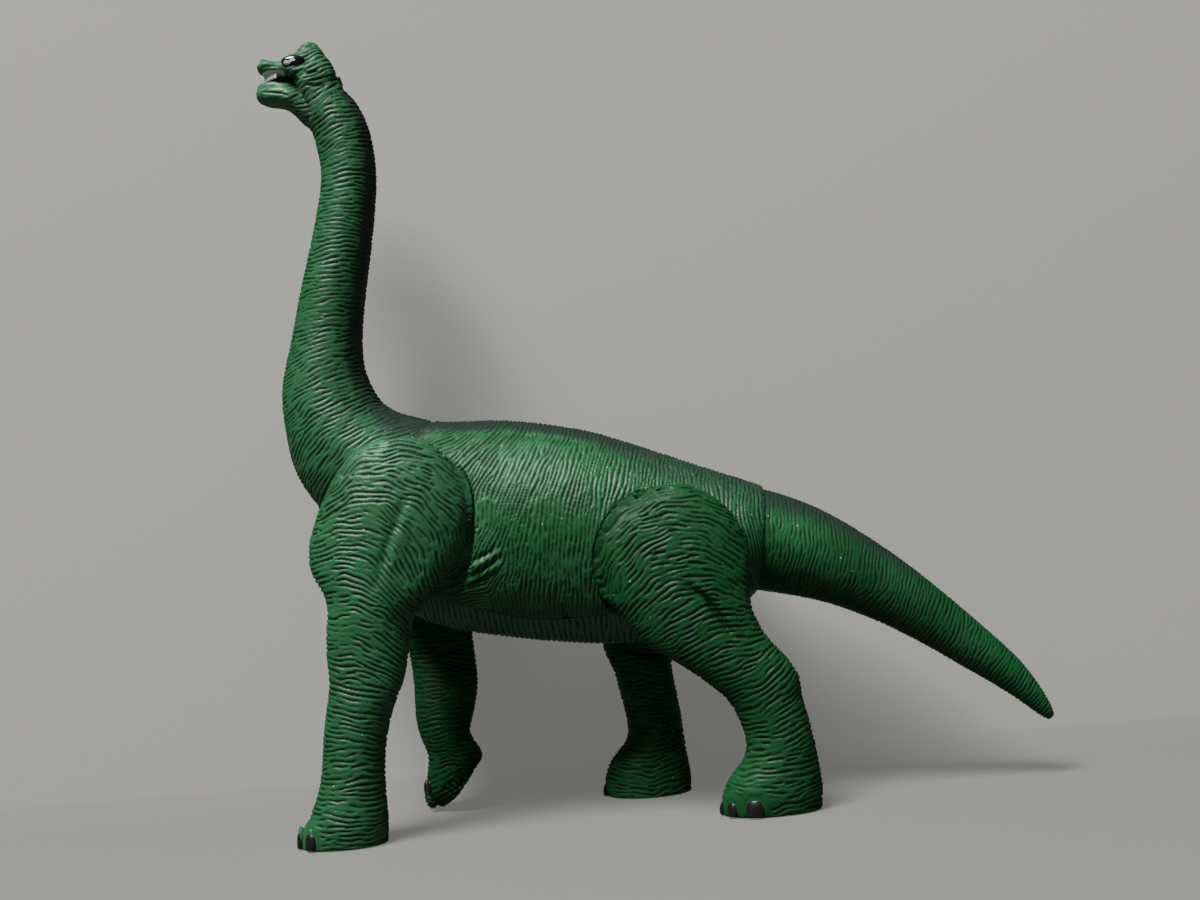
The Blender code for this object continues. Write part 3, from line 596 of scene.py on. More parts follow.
def wrinkle_field(points, normals, skin, solids):
    """How deep the wrinkles are cut at each point, from 0 on a ridge to about 1, and how openly it lies."""
    rng = np.random.default_rng(skin.seed)
    pitch = skin.pitch * MM
    chosen = thinned(points, 0.8 * pitch, rng)
    sites = points[chosen]
    site_normals = normals[chosen]
    across, certainty = across_lines(sites, site_normals, skin.lines)
    strength = np.empty(len(sites))
    wave = np.empty(len(sites))
    for index, place in enumerate(sites):
        spot = Vector(place)
        open_air = is_open(solids, spot, Vector(site_normals[index]))
        strength[index] = open_air * (1 + 0.35 * noise.noise(spot * 200))
        wave[index] = math.tau / (pitch * (1 + 0.30 * noise.noise(spot * 260 + Vector((9, 4, 2)))))
        turn = skin.waver * (noise.noise(spot * 300 + Vector((3, 8, 5))) + 0.25 * noise.noise(spot * 700))
        side = Vector(site_normals[index]).cross(Vector(across[index]))
        across[index] = Vector(across[index]) * math.cos(turn) + side * math.sin(turn)
    strength *= smooth_step(0.15, 0.5, certainty)

    spread = 0.68 * pitch

    def waves_at(places, place_normals):
        """How strongly each site's wave reaches each place, and its angle there without its own phase."""
        source, target = pairs_within(places, sites, 2.3 * spread)
        gap = places[target] - sites[source]
        pull = np.exp(-(gap ** 2).sum(1) / (2 * spread ** 2))
        pull *= (place_normals[target] * site_normals[source]).sum(1) > 0.4
        rise = (gap * across[source]).sum(1)
        return source, target, pull, wave[source] * rise, rise

    source, target, pull, turn, _ = waves_at(sites, site_normals)
    phase = rng.uniform(-math.pi, math.pi, len(sites))
    for _ in range(80):
        phase = np.angle(complex_sums(target, pull * np.exp(1j * (phase[source] + turn)), len(sites)))

    source, target, pull, turn, rise = waves_at(points, normals)
    field = complex_sums(target, pull * np.exp(1j * (phase[source] + turn)), len(points))
    weight = np.maximum(np.bincount(target, pull, len(points)), 1e-9)
    height = np.bincount(target, pull * strength[source], len(points)) / weight
    angle = np.angle(field)
    groove = 1 - np.abs(np.cos((angle + 0.35 * (1 + np.cos(angle))) / 2)) ** 0.8

    # Each groove is a chain of strokes that are deep in their middles and end in points
    stroke = pull ** 0.75 * np.exp(-rise ** 2 / (2 * (0.3 * pitch) ** 2))
    chance = np.bincount(target, stroke * rng.uniform(0, 1, len(sites))[source], len(points))
    chance /= np.maximum(np.bincount(target, stroke, len(points)), 1e-9)
    amount = 1 - skin.broken + 1.5 * skin.broken * smooth_step(0.33, 0.6, chance)
    cut = np.where(amount < 1, np.maximum(groove - (1 - amount), 0), groove * amount)
    return cut * np.clip(height, 0, 1.5) * np.clip(np.abs(field) / weight * 1.5, 0, 1), height


def below_ridge(points):
    """How far each point of the torso lies below its upper outline, in mm."""
    column = np.floor(points[:, 0] / (2 * MM)).astype(int)
    first = column.min()
    tops = np.zeros(column.max() - first + 1)
    np.maximum.at(tops, column - first, points[:, 2])
    return (np.interp(points[:, 0] / (2 * MM), np.arange(len(tops)) + 0.5 + first, tops) - points[:, 2]) / MM


def spray_amount(points, normals, node, lines):
    """Where the dark sprayed paint lies: on top of the neck, back and tail, and thinly on the belly."""
    if node == "belly_plate":
        return np.full(len(points), 0.1)
    if node not in ("torso_shell", "neck", "tail"):
        return np.zeros(len(points))
    if node == "torso_shell":
        below = below_ridge(points)
        widening = smooth_step(-22 * MM, 6 * MM, points[:, 0])
        return (1 - 0.2 * widening) * (1 - smooth_step(1.4 - 4 * widening, 3.6 + 11 * widening, below))
    weight, slopes = line_weights(points, lines)
    turn = np.arctan2((weight * np.sin(slopes)).sum(1), (weight * np.cos(slopes)).sum(1))
    if node == "neck":
        turn += math.radians(55) * (1 - smooth_step(90 * MM, 108 * MM, points[:, 2]))
    facing = normals[:, 0] * np.cos(turn) + normals[:, 2] * np.sin(turn)
    fade = 1 - smooth_step(45 * MM, 68 * MM, points[:, 0])
    return smooth_step(0.35, 0.9, facing) * fade


def painted_light_amount(points, node):
    """Where the skin is painted paler as a highlight, and below zero where it is painted deeper as shade."""
    # Painted shade along the middle stretch of the tail
    if node == "tail":
        along = points[:, 0]
        return -0.5 * smooth_step(28 * MM, 45 * MM, along) * (1 - smooth_step(58 * MM, 76 * MM, along))
    # Painted highlight along the top of the back
    if node == "torso_shell":
        return 0.35 * (1 - smooth_step(4, 16, below_ridge(points)))
    # Painted highlight on the near foreleg, stronger towards its top
    if node == "left_foreleg":
        return 0.2 + 0.25 * smooth_step(60 * MM, 85 * MM, points[:, 2])
    # Other skins: painted highlight on the belly, head and neck, painted shade on the far foreleg and near
    # hind leg
    return np.full(len(points), PAINTED_LIGHT.get(node, 0))


def thin_mesh(piece, hidden):
    """Thins the mesh down to the most triangles that it may have, first where nothing can be seen."""
    group = piece.vertex_groups.new(name="hidden")
    group.add(np.nonzero(hidden)[0].tolist(), 1, "REPLACE")
    for group_name in (group.name, ""):
        piece.data.calc_loop_triangles()
        count = len(piece.data.loop_triangles)
        if count > MOST_TRIANGLES:
            thin = piece.modifiers.new("thin", "DECIMATE")
            thin.ratio = MOST_TRIANGLES / count
            thin.vertex_group = group_name
            apply_modifiers(piece)
    piece.vertex_groups.clear()


def ease_rim(points, node, leg, torso):
    """Brings the front edge of a hind leg's round disc towards the level of the flank beside it."""
    middle = np.array(joint_of("child", node)["pos_m"])
    side = math.copysign(1, middle[1])
    radius = DISC_RADIUS[node] * MM
    outline = radius + 0.9 * MM
    inward = Vector((0, -side, 0))
    angles = np.radians(np.arange(0, 360, 5))
    flank = np.zeros(len(angles))
    free = np.zeros(len(angles))
    for index, angle in enumerate(angles):
        beside = middle + outline * np.array((math.cos(angle), 0, math.sin(angle)))
        start = Vector((beside[0], side * 60 * MM, beside[2]))
        found = torso.ray_cast(start, inward)[0]
        own = leg.ray_cast(start, inward)[0]
        if found is not None and own is None:
            flank[index] = side * found.y
            free[index] = 1
    steps = range(-7, 8)
    near = np.exp(-(np.array(steps) / 3) ** 2)
    level = sum(share * np.roll(flank, step) for step, share in zip(steps, near))
    count = sum(share * np.roll(free, step) for step, share in zip(steps, near))
    level = np.where(count > 0, level / np.maximum(count, 1e-9), 0)
    weight = smooth_step(0.35, 0.9, count / near.sum())
    offset = points - middle
    reach = np.hypot(offset[:, 0], offset[:, 2])
    turn = np.arctan2(offset[:, 2], offset[:, 0]) % math.tau
    closed = np.append(angles, math.tau)
    beside = np.interp(turn, closed, np.append(level, level[0])) + 0.15 * MM
    amount = np.interp(turn, closed, np.append(weight, weight[0]))
    amount *= smooth_step(radius - 4 * MM, radius - 0.3 * MM, reach) * smooth_step(-0.1, 0.35, -np.cos(turn))
    proud = side * points[:, 1] - beside
    amount *= smooth_step(-3.6 * MM, -2.2 * MM, proud) * smooth_step(-8 * MM, -4 * MM, offset[:, 2])
    points[:, 1] -= side * proud * amount * 0.85


def close_gaps(points, node, neighbours):
    """Moves the rims and walls at the seams towards their neighbours, from farther away at the discs."""
    full = np.full(len(points), SEAM_REACH)
    if node in DISC_RADIUS:
        offset = points - np.array(joint_of("child", node)["pos_m"])
        reach = np.hypot(offset[:, 0], offset[:, 2]) - DISC_RADIUS[node] * MM
        outer = (np.abs(points[:, 1]) > 16.5 * MM) & (offset[:, 2] > -7 * MM)
        full[outer & (np.abs(reach) < 1.4 * MM)] = DISC_REACH
    for index, point in enumerate(points):
        nearest, _, _, gap = neighbours.find_nearest(point, 2.4 * full[index])
        if nearest is not None and gap > SEAM_LINE:
            share = 1 - smooth_step(full[index], 2.4 * full[index], gap)
            points[index] += (np.array(nearest) - point) * (1 - SEAM_LINE / gap) * share


def build_skin(node, look, solids):
    """The wrinkled and painted skin of one solid."""
    skin = SKINS[node]
    piece = merged_copy(node, node + "_skin")
    if skin.body == "torso":
        close_inside(piece.data, solids_tree(("torso_shell", "belly_plate")))
    close_seams(node, piece.data)
    round_off(piece)
    if node in ("left_hind_leg", "right_hind_leg"):
        apply_modifiers(piece)
        rounded = read_points(piece.data)
        ease_rim(rounded, node, solids_tree((node,)), solids_tree(("torso_shell",)))
        write_points(piece.data, rounded)
    remesh = piece.modifiers.new("remesh", "REMESH")
    remesh.mode = "VOXEL"
    remesh.voxel_size = skin.mesh_size * MM * 1
    soften = piece.modifiers.new("soften", "SMOOTH")
    soften.factor = 0.5
    soften.iterations = 5
    apply_modifiers(piece)
    mesh = piece.data
    points = read_points(mesh)
    close_gaps(points, node, solids)
    if node in SHIFTS:
        draw_over(points, SHIFTS[node])
    write_points(mesh, points)
    normals = read_normals(mesh)
    foot = FEET.get(node)
    toes, toe_fade = 0, 1
    if foot:
        tuck_toes(points, foot)
        toes, toe_fade = raise_toes(points, foot)
    cut, openness = wrinkle_field(points, normals, skin, solids)
    drop = cut * toe_fade
    if node == "head":
        drop *= 1 - 0.75 * smooth_step(75.5 * MM, 78.5 * MM, -points[:, 0])
    folds = press_folds(points, normals, SKIN_FOLDS.get(node, ()))
    swellings = swell(points, HEAD_SWELLINGS if node == "head" else ())
    sunk = drop * skin.depth * look.wrinkle_depth + folds - toes - swellings
    points -= normals * (sunk * MM)[:, None]
    write_points(mesh, kept_inside(points))
    # Painted shade deep in the wrinkles and the deeper folds
    write_attribute(mesh, "groove", np.clip(drop + np.clip(folds - 0.2, 0, 1) * 0.5, 0, 1.2))
    write_attribute(mesh, "spray", spray_amount(points, normals, node, skin.lines))
    # Painted highlight and shade over the skin
    write_attribute(mesh, "painted_light", painted_light_amount(points, node))
    write_attribute(mesh, "shine", np.full(len(points), SHINE.get(node, 1)))
    if node == "head":
        write_attribute(mesh, "black", mark_amount(points, BLACK_MARKS))
        write_attribute(mesh, "silver", mark_amount(points, SILVER_MARKS))
    mesh.materials.append(bpy.data.materials["painted_vinyl"])
    mesh.polygons.foreach_set("use_smooth", [True] * len(mesh.polygons))
    thin_mesh(piece, openness < 0.02)
    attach(piece, skin.body)
    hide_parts(node)
    return piece


def unit_ball(segments, rings):
    deselect_all()
    bpy.ops.mesh.primitive_uv_sphere_add(segments=segments, ring_count=rings, radius=0.5)
    return bpy.context.object


def build_claw():
    """One claw of unit size: a rounded nail, cut off flat below."""
    claw = unit_ball(24, 16)
    bpy.ops.object.mode_set(mode="EDIT")
    bpy.ops.mesh.select_all(action="SELECT")
    bpy.ops.mesh.bisect(plane_co=(0, 0, -0.38), plane_no=(0, 0, -1), clear_outer=True, use_fill=True)
    bpy.ops.object.mode_set(mode="OBJECT")
    return claw


def join_pieces(pieces, name, body, material):
    """Makes one smooth-shaded piece of several and lets it ride on a body."""
    deselect_all()
    for piece in pieces:
        piece.select_set(True)
    joined = pieces[0]
    bpy.context.view_layer.objects.active = joined
    bpy.ops.object.join()
    joined.name = name
    write_points(joined.data, kept_inside(read_points(joined.data)))
    joined.data.materials.clear()
    joined.data.materials.append(bpy.data.materials[material])
    bpy.ops.object.shade_smooth_by_angle(angle=math.radians(40))
    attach(joined, body)
    return joined


def placed_copy(pattern, middle, way, lean, size):
    """A copy of a pattern that faces a way, with its place, lean in degrees and size in mm in its mesh."""
    piece = pattern.copy()
    piece.data = pattern.data.copy()
    bpy.context.scene.collection.objects.link(piece)
    turn = Matrix.Rotation(math.atan2(way.y, way.x), 4, "Z") @ Matrix.Rotation(math.radians(-lean), 4, "Y")
    scale = Matrix.Diagonal((*(part * MM for part in size), 1))
    piece.data.transform(Matrix.Translation(middle * MM) @ turn @ scale)
    return piece


def build_claws(leg):
    """The painted claws of one foot, half sunk into its toes."""
    pattern = build_claw()
    claws = []
    if leg in FEET:
        for degrees, width, height in FEET[leg].claws:
            place, way = FEET[leg].edge(math.radians(degrees))
            middle = place + Vector((0, 0, height * 0.42)) + way * 0.1
            claws.append(placed_copy(pattern, middle, way, 12, (1.9, width, height)))
    else:
        skin = piece_tree(leg + "_skin")
        for across, up, width, height in BENT_CLAWS:
            place, normal, _, _ = skin.ray_cast(Vector((-90, across, up)) * MM, Vector((1, 0, 0)))
            way = Vector((normal.x, normal.y, 0)).normalized()
            claws.append(placed_copy(pattern, place / MM - way * 0.3, way, -4, (1.9, width, height)))
    bpy.data.objects.remove(pattern)
    return join_pieces(claws, leg + "_claws", leg, "claw_black")


def build_tooth():
    """One tooth of unit size, tapered downwards with rounded edges."""
    deselect_all()
    bpy.ops.mesh.primitive_cube_add(size=1)
    tooth = bpy.context.object
    bpy.ops.object.mode_set(mode="EDIT")
    bpy.ops.mesh.select_all(action="DESELECT")
    shape = bmesh.from_edit_mesh(tooth.data)
    for face in shape.faces:
        face.select = face.normal.z < -0.9
    bmesh.update_edit_mesh(tooth.data)
    bpy.ops.transform.resize(value=(0.7, 0.62, 1))
    bpy.ops.mesh.select_all(action="SELECT")
    bpy.ops.mesh.bevel(offset=0.16, segments=3, affect="EDGES")
    bpy.ops.object.mode_set(mode="OBJECT")
    return tooth


def piece_tree(name):
    """A search tree over a finished piece."""
    mesh = bpy.data.objects[name].data
    points = [vertex.co for vertex in mesh.vertices]
    return BVHTree.FromPolygons(points, [face.vertices for face in mesh.polygons])


def build_teeth():
    """The silver upper teeth, set round the lip by where the head's skin is."""
    head = piece_tree("head_skin")
    pattern = build_tooth()
    teeth = []
    middle = Vector((-81, 0, 173.9))
    for step in range(-6, 7):
        degrees = step * 23 - step * abs(step) * 0.9
        out = Vector((-math.cos(math.radians(degrees)), math.sin(math.radians(degrees)), 0))
        place, normal, _, _ = head.ray_cast((middle + out * 12) * MM, -out)
        if place is None or place.z < 170 * MM:
            continue
        way = Vector((normal.x, normal.y, 0)).normalized()
        tall = 2.9 - 0.1 * abs(step)
        spot = place / MM + way * 0.25 - Vector((0, 0, tall / 2 - 1.15))
        teeth.append(placed_copy(pattern, spot, way, 0, (0.8, 1.35, tall)))
    bpy.data.objects.remove(pattern)
    return join_pieces(teeth, "upper_teeth", "head", "tooth_silver")


def build_eyes():
    """Long painted eyes, mostly sunk into the head."""
    head = piece_tree("head_skin")
    pattern = unit_ball(48, 32)
    eyes = []
    for side in (-1, 1):
        place, _, _, _ = head.ray_cast(Vector((-75.6, side * 20, 176.0)) * MM, Vector((0, -side, 0)))
        middle = place / MM + Vector((0, -side * 0.45, 0))
        eyes.append(placed_copy(pattern, middle, Vector((0, side, 0)), 0, (1.9, 5.4, 2.7)))
    bpy.data.objects.remove(pattern)
    joined = join_pieces(eyes, "eyes", "head", "eye_paint")
    points = read_points(joined.data) / MM
    # Painted highlight: two ragged white glints at fixed places on each eye
    low = np.hypot((points[:, 0] + 76.9) / 0.8, (points[:, 2] - 175.6) / 0.5)
    high = np.hypot((points[:, 0] + 75.7) / 0.7, (points[:, 2] - 176.1) / 0.35)
    write_attribute(joined.data, "white", np.clip(1.5 - np.minimum(low, high), 0, 1))
    return joined


def build_mouth():
    """The dark web of vinyl between the jaws, behind the teeth."""
    pattern = unit_ball(32, 20)
    web = placed_copy(pattern, Vector((-78.9, 0, 172.2)), Vector((-1, 0, 0)), 4, (7.6, 5.4, 3.6))
    bpy.data.objects.remove(pattern)
    return join_pieces([web], "mouth_lining", "head", "dark_vinyl")


def build_nub():
    """The small peg of moulding flash at the nape."""
    deselect_all()
    bpy.ops.mesh.primitive_cylinder_add(vertices=20, radius=0.5, depth=1)
    nub = bpy.context.object
    bpy.ops.object.mode_set(mode="EDIT")
    bpy.ops.mesh.select_all(action="SELECT")
    bpy.ops.mesh.bevel(offset=0.18, segments=3, affect="EDGES")
    bpy.ops.object.mode_set(mode="OBJECT")
    head = piece_tree("head_skin")
    place, _, _, _ = head.ray_cast(Vector((-50, 0, 171.6)) * MM, Vector((-1, 0, 0)))
    middle = place / MM + Vector((0.15, 0, 0))
    pegs = [placed_copy(nub, middle, Vector((1, 0, 0)), 16, (0.9, 1.0, 2.3))]
    bpy.data.objects.remove(nub)
    return join_pieces(pegs, "nape_nub", "head", "flash_vinyl")


class Value:
    """A shader socket that can be used in sums."""

    def __init__(self, tree, socket):
        self.tree = tree
        self.socket = socket

    def node(self, kind, settings=None, inputs=None, output=0):
        """Adds a node with its settings and the values or links of its sockets, and wraps one output."""
        made = self.tree.nodes.new(kind)
        for name, setting in (settings or {}).items():
            setattr(made, name, setting)
        for name, given in (inputs or {}).items():
            if isinstance(given, Value):
                self.tree.links.new(given.socket, made.inputs[name])
            else:
                made.inputs[name].default_value = given
        return Value(self.tree, made.outputs[output])

    def maths(self, operation, first, second=0.5):
        return self.node("ShaderNodeMath", {"operation": operation}, {0: first, 1: second})

    def __add__(self, other):
        return self.maths("ADD", self, other)

    __radd__ = __add__

    def __mul__(self, other):
        return self.maths("MULTIPLY", self, other)

    __rmul__ = __mul__

    def __sub__(self, other):
        return self.maths("SUBTRACT", self, other)

    def __rsub__(self, other):
        return self.maths("SUBTRACT", other, self)

    def attribute(self, name):
        """How strong a mark that is written on the mesh is."""
        return self.node("ShaderNodeAttribute", {"attribute_name": name}, output=2)

    def clouds(self, scale, detail):
        """Soft patches over these coordinates."""
        return self.node("ShaderNodeTexNoise", {}, {"Vector": self, "Scale": scale, "Detail": detail})

    def feed(self, node, name):
        self.tree.links.new(self.socket, node.inputs[name])

    def between(self, low, high):
        """0 below a low value and 1 above a high one, smoothly."""
        settings = {"interpolation_type": "SMOOTHSTEP"}
        return self.node("ShaderNodeMapRange", settings, {0: self, 1: low, 2: high})

    def mixed(self, first, second):
        """A colour between two, by this value."""
        return self.node("ShaderNodeMix", {"data_type": "RGBA"}, {0: self, 6: first, 7: second}, output=2)


def opaque(colour):
    return (*colour, 1)


def new_material(name):
    """A material, a start for its sums and its shader."""
    material = bpy.data.materials.new(name)
    material.use_nodes = True
    tree = material.node_tree
    return material, Value(tree, None), tree.nodes["Principled BSDF"]


def roughen(start, shader, fine, strength):
    """Gives a shader the finest unevenness of moulded vinyl or paint."""
    bump = start.node("ShaderNodeBump", {}, {"Strength": strength, "Distance": 0.0001, "Height": fine})
    bump.feed(shader, "Normal")


def build_vinyl(look):
    """Green vinyl with painted shade in its grooves, painted highlight and shade over whole skins, sprayed
    dark paint, painted marks on the head and a little dust.
    """
    _, start, shader = new_material("painted_vinyl")
    place = start.node("ShaderNodeTexCoord", output=3)
    cloudy = place.clouds(70, 3)
    fine = place.clouds(1500, 2)
    # Painted highlight mixes in a paler green and painted shade a deeper green
    painted_light = start.attribute("painted_light")
    plain = cloudy.between(0.35, 0.68).mixed(opaque(look.green), opaque(look.light_green))
    paler = (painted_light + (cloudy - 0.5) * 0.5 * painted_light).mixed(plain, opaque(look.highlight_green))
    green = (0 - painted_light).mixed(paler, opaque(look.shade_green))
    # Painted shade in the grooves: a dark green where the wrinkles and folds are cut deep
    groove_shading = (start.attribute("groove") + (fine - 0.5) * 0.25).between(0.2, 0.75)
    skin = groove_shading.mixed(green, opaque(look.groove_shade_green))
    misted = (start.attribute("spray") + (fine - 0.5) * 0.7 + (cloudy - 0.5) * 0.7).between(0.15, 1.0)
    painted = misted.mixed(skin, opaque(look.spray))
    silver = (start.attribute("silver") + (fine - 0.5) * 0.3).between(0.42, 0.55)
    black = (start.attribute("black") + (fine - 0.5) * 0.3).between(0.38, 0.52)
    marked = black.mixed(silver.mixed(painted, opaque(look.silver)), (0.004, 0.006, 0.005, 1))
    specks = start.node("ShaderNodeTexVoronoi", {}, {"Vector": place, "Scale": 260})
    dust = (0.055 - specks).between(0, 0.02) * place.clouds(190, 1).between(0.5, 0.56)
    dust.mixed(marked, (0.45, 0.50, 0.46, 1)).feed(shader, "Base Color")
    (0.40 + cloudy * 0.16 + misted * 0.06).feed(shader, "Roughness")
    (start.attribute("shine") * (0.42 + cloudy * 0.26)).feed(shader, "Coat Weight")
    shader.inputs["Coat Roughness"].default_value = 0.46
    shader.inputs["Specular IOR Level"].default_value = 0.12
    roughen(start, shader, fine, 0.35)


def build_paint(name, colour, roughness, worn_colour):
    """A glossy paint, thinner in small spots."""
    _, start, shader = new_material(name)
    place = start.node("ShaderNodeTexCoord", output=3)
    patchy = place.clouds(420, 3)
    patchy.between(0.72, 0.80).mixed(opaque(colour), opaque(worn_colour)).feed(shader, "Base Color")
    (roughness + patchy * 0.15).feed(shader, "Roughness")
    roughen(start, shader, place.clouds(1300, 3), 0.3)
    return start, shader


def build_eye_paint():
    """Black paint with ragged white glints, painted on as highlights."""
    start, eye = build_paint("eye_paint", (0.006, 0.007, 0.007), 0.12, (0.01, 0.01, 0.01))
    base = Value(start.tree, eye.inputs["Base Color"].links[0].from_socket)
    ragged = start.node("ShaderNodeTexCoord", output=3).clouds(900, 2)
    # The white glints are a painted highlight
    spot = (start.attribute("white") + (ragged - 0.5) * 1.3).between(0.42, 0.6)
    spot.mixed(base, (0.62, 0.64, 0.64, 1)).feed(eye, "Base Color")


def stage_material(name, colour):
    material, start, shader = new_material(name)
    shader.inputs["Base Color"].default_value = opaque(colour)
    shader.inputs["Roughness"].default_value = 0.9
    shader.inputs["Specular IOR Level"].default_value = 0.1
    return material, start, shader


LAMP_PLACE = Vector((-0.74, -0.90, 2.06))
LAMP_TARGET = Vector((-0.01, 0, 0.08))
PAPER_GLOW = 0.34
PAPER_BOUNCE = 0.15


def lamp_share(normal):
    """How squarely the lamp lights a surface."""
    return max(normal.dot((LAMP_PLACE - LAMP_TARGET).normalized()), 0.05)


def lift_shadows(look, start, shader):
    """Keeps the paper's shadows pale to the camera and its bounce on the figure low."""
    camera_ray = start.node("ShaderNodeLightPath", output=0)
    glow = start.node("ShaderNodeEmission", {}, {"Color": opaque(look.paper), "Strength": 1.0})
    bounced = opaque(PAPER_BOUNCE * part for part in look.paper)
    dim = start.node("ShaderNodeBsdfDiffuse", {}, {"Color": bounced})
    shaded = Value(start.tree, shader.outputs[0])
    lit = start.node("ShaderNodeMixShader", {}, {0: PAPER_GLOW, 1: shaded, 2: glow})
    paper = start.node("ShaderNodeMixShader", {}, {0: camera_ray, 1: dim, 2: lit})
    paper.feed(start.tree.nodes["Material Output"], "Surface")
    return paper


def build_floor(look):
    bpy.ops.mesh.primitive_plane_add(size=6, location=(0, 0, -0.1 * MM))
    floor = bpy.context.object
    floor.name = "floor"
    evened = lamp_share(Vector((0, -1, 0))) / lamp_share(Vector((0, 0, 1)))
    material, start, shader = stage_material("floor_paper", [part * evened for part in look.paper])
    lift_shadows(look, start, shader)
    floor.data.materials.append(material)


def build_backdrop(look):
    """Paper that curves up behind the figure, seen only from its front."""
    start_y, bend, top, half_width = 0.0245, 0.006, 0.6, 1.2
    angles = [math.pi / 2 * step / 12 for step in range(13)]
    profile = [(start_y + bend * math.sin(angle), bend * (1 - math.cos(angle))) for angle in angles]
    profile.append((start_y + bend, top))
    points = [(side * half_width, y, z) for y, z in profile for side in (-1, 1)]
    faces = [(2 * row, 2 * row + 1, 2 * row + 3, 2 * row + 2) for row in range(len(profile) - 1)]
    mesh = bpy.data.meshes.new("backdrop")
    mesh.from_pydata(points, [], faces)
    mesh.polygons.foreach_set("use_smooth", [True] * len(mesh.polygons))
    facing = [Vector((0, -math.sin(angle), math.cos(angle))) for angle in angles]
    shares = [lamp_share(Vector((0, -1, 0))) / lamp_share(normal) for normal in facing] + [1]
    write_attribute(mesh, "evened", np.repeat(shares, 2))
    backdrop = new_object("backdrop", mesh)
    material, start, shader = stage_material("backdrop_paper", look.paper)
    start.attribute("evened").mixed((0, 0, 0, 1), opaque(look.paper)).feed(shader, "Base Color")
    camera_ray = start.node("ShaderNodeLightPath", output=0)
    behind = start.node("ShaderNodeNewGeometry", output="Backfacing")
    clear = start.node("ShaderNodeBsdfTransparent")
    paper = lift_shadows(look, start, shader)
    seen = start.node("ShaderNodeMixShader", {}, {0: camera_ray * (1 - behind), 1: clear, 2: paper})
    seen.feed(start.tree.nodes["Material Output"], "Surface")
    mesh.materials.append(material)


def build_lights():
    """One large soft lamp in a dim room."""
    world = bpy.data.worlds.new("studio")
    bpy.context.scene.world = world
    world.use_nodes = True
    background = world.node_tree.nodes["Background"]
    background.inputs["Color"].default_value = (0.035, 0.035, 0.035, 1)
    background.inputs["Strength"].default_value = 1.0
    lamp = bpy.data.lights.new("window", "AREA")
    lamp.shape = "DISK"
    lamp.size = 1.0
    lamp.energy = 92
    lamp.color = (1, 0.99, 0.97)
    window = new_object("window", lamp)
    window.location = LAMP_PLACE
    window.rotation_euler = (LAMP_TARGET - LAMP_PLACE).to_track_quat("-Z", "Y").to_euler()


def build_camera():
    """A camera at the photographed angle: level, close and rolled a little."""
    roll = math.radians(4.5)
    right = Vector((math.cos(roll), 0, -math.sin(roll)))
    up = Vector((math.sin(roll), 0, math.cos(roll)))
    back = Vector((0, -1, 0))
    data = bpy.data.cameras.new("camera")
    data.lens = 52.2
    data.sensor_width = 36
    data.clip_start = 0.01
    camera = new_object("camera", data)
    turn = Matrix((right, up, back)).transposed().to_4x4()
    camera.matrix_world = Matrix.Translation((-13.09 * MM, -0.4, 82.55 * MM)) @ turn
    bpy.context.scene.camera = camera


class DinosaurLook(bpy.types.PropertyGroup):
    """Colours and depths that a user may change."""

    green: FloatVectorProperty(
        name="Green", description="Colour of the bare vinyl", subtype="COLOR",
        default=(0.008, 0.095, 0.022),
    )
    light_green: FloatVectorProperty(
        name="Light Green", description="Paler patches of the vinyl", subtype="COLOR",
        default=(0.018, 0.135, 0.042),
    )
    # Painted highlight: the paler green painted where a skin should catch more light
    highlight_green: FloatVectorProperty(
        name="Pale Green", description="Vinyl rubbed pale by handling", subtype="COLOR",
        default=(0.05, 0.16, 0.08),
    )
    # Painted shade: the deeper green painted where a skin should lie in shade
    shade_green: FloatVectorProperty(
        name="Deep Green", description="The least handled vinyl", subtype="COLOR",
        default=(0.003, 0.04, 0.009),
    )
    # Painted shade: the dark green painted deep in the wrinkles
    groove_shade_green: FloatVectorProperty(
        name="Groove", description="Colour deep in the wrinkles", subtype="COLOR",
        default=(0.0012, 0.028, 0.005),
    )
    spray: FloatVectorProperty(
        name="Spray", description="Colour of the dark sprayed paint", subtype="COLOR",
        default=(0.016, 0.036, 0.025),
    )
    silver: FloatVectorProperty(
        name="Silver", description="Colour of the painted teeth", subtype="COLOR",
        default=(0.93, 0.94, 0.93),
    )
    paper: FloatVectorProperty(
        name="Paper", description="Colour of floor and backdrop", subtype="COLOR",
        default=(0.435, 0.431, 0.416),
    )
    wrinkle_depth: FloatProperty(
        name="Wrinkle Depth", description="Share of the moulded wrinkle depth", default=1.0, min=0, max=1.5
    )


def dress(context, nodes):
    """Dresses some of the solids."""
    look = context.scene.dinosaur_look
    if "painted_vinyl" not in bpy.data.materials:
        build_vinyl(look)
    for node in nodes:
        others = solids_tree([other for other in frame["nodes"] if other != node])
        build_skin(node, look, others)


class DressBody(bpy.types.Operator):
    """Dress the torso and the belly plate with their ribbed skins"""

    bl_idname = "dinosaur.dress_body"
    bl_label = "Dress Body"

    def execute(self, context):
        dress(context, ("torso_shell", "belly_plate"))
        return {"FINISHED"}


class DressNeck(bpy.types.Operator):
    """Dress the neck with its wrinkled skin"""

    bl_idname = "dinosaur.dress_neck"
    bl_label = "Dress Neck"

    def execute(self, context):
        dress(context, ("neck",))
        return {"FINISHED"}


class DressHead(bpy.types.Operator):
    """Dress the head with its wrinkled skin"""

    bl_idname = "dinosaur.dress_head"
    bl_label = "Dress Head"

    def execute(self, context):
        dress(context, ("head",))
        return {"FINISHED"}


class DressTail(bpy.types.Operator):
    """Dress the tail with its wrinkled skin"""

    bl_idname = "dinosaur.dress_tail"
    bl_label = "Dress Tail"

    def execute(self, context):
        dress(context, ("tail",))
        return {"FINISHED"}


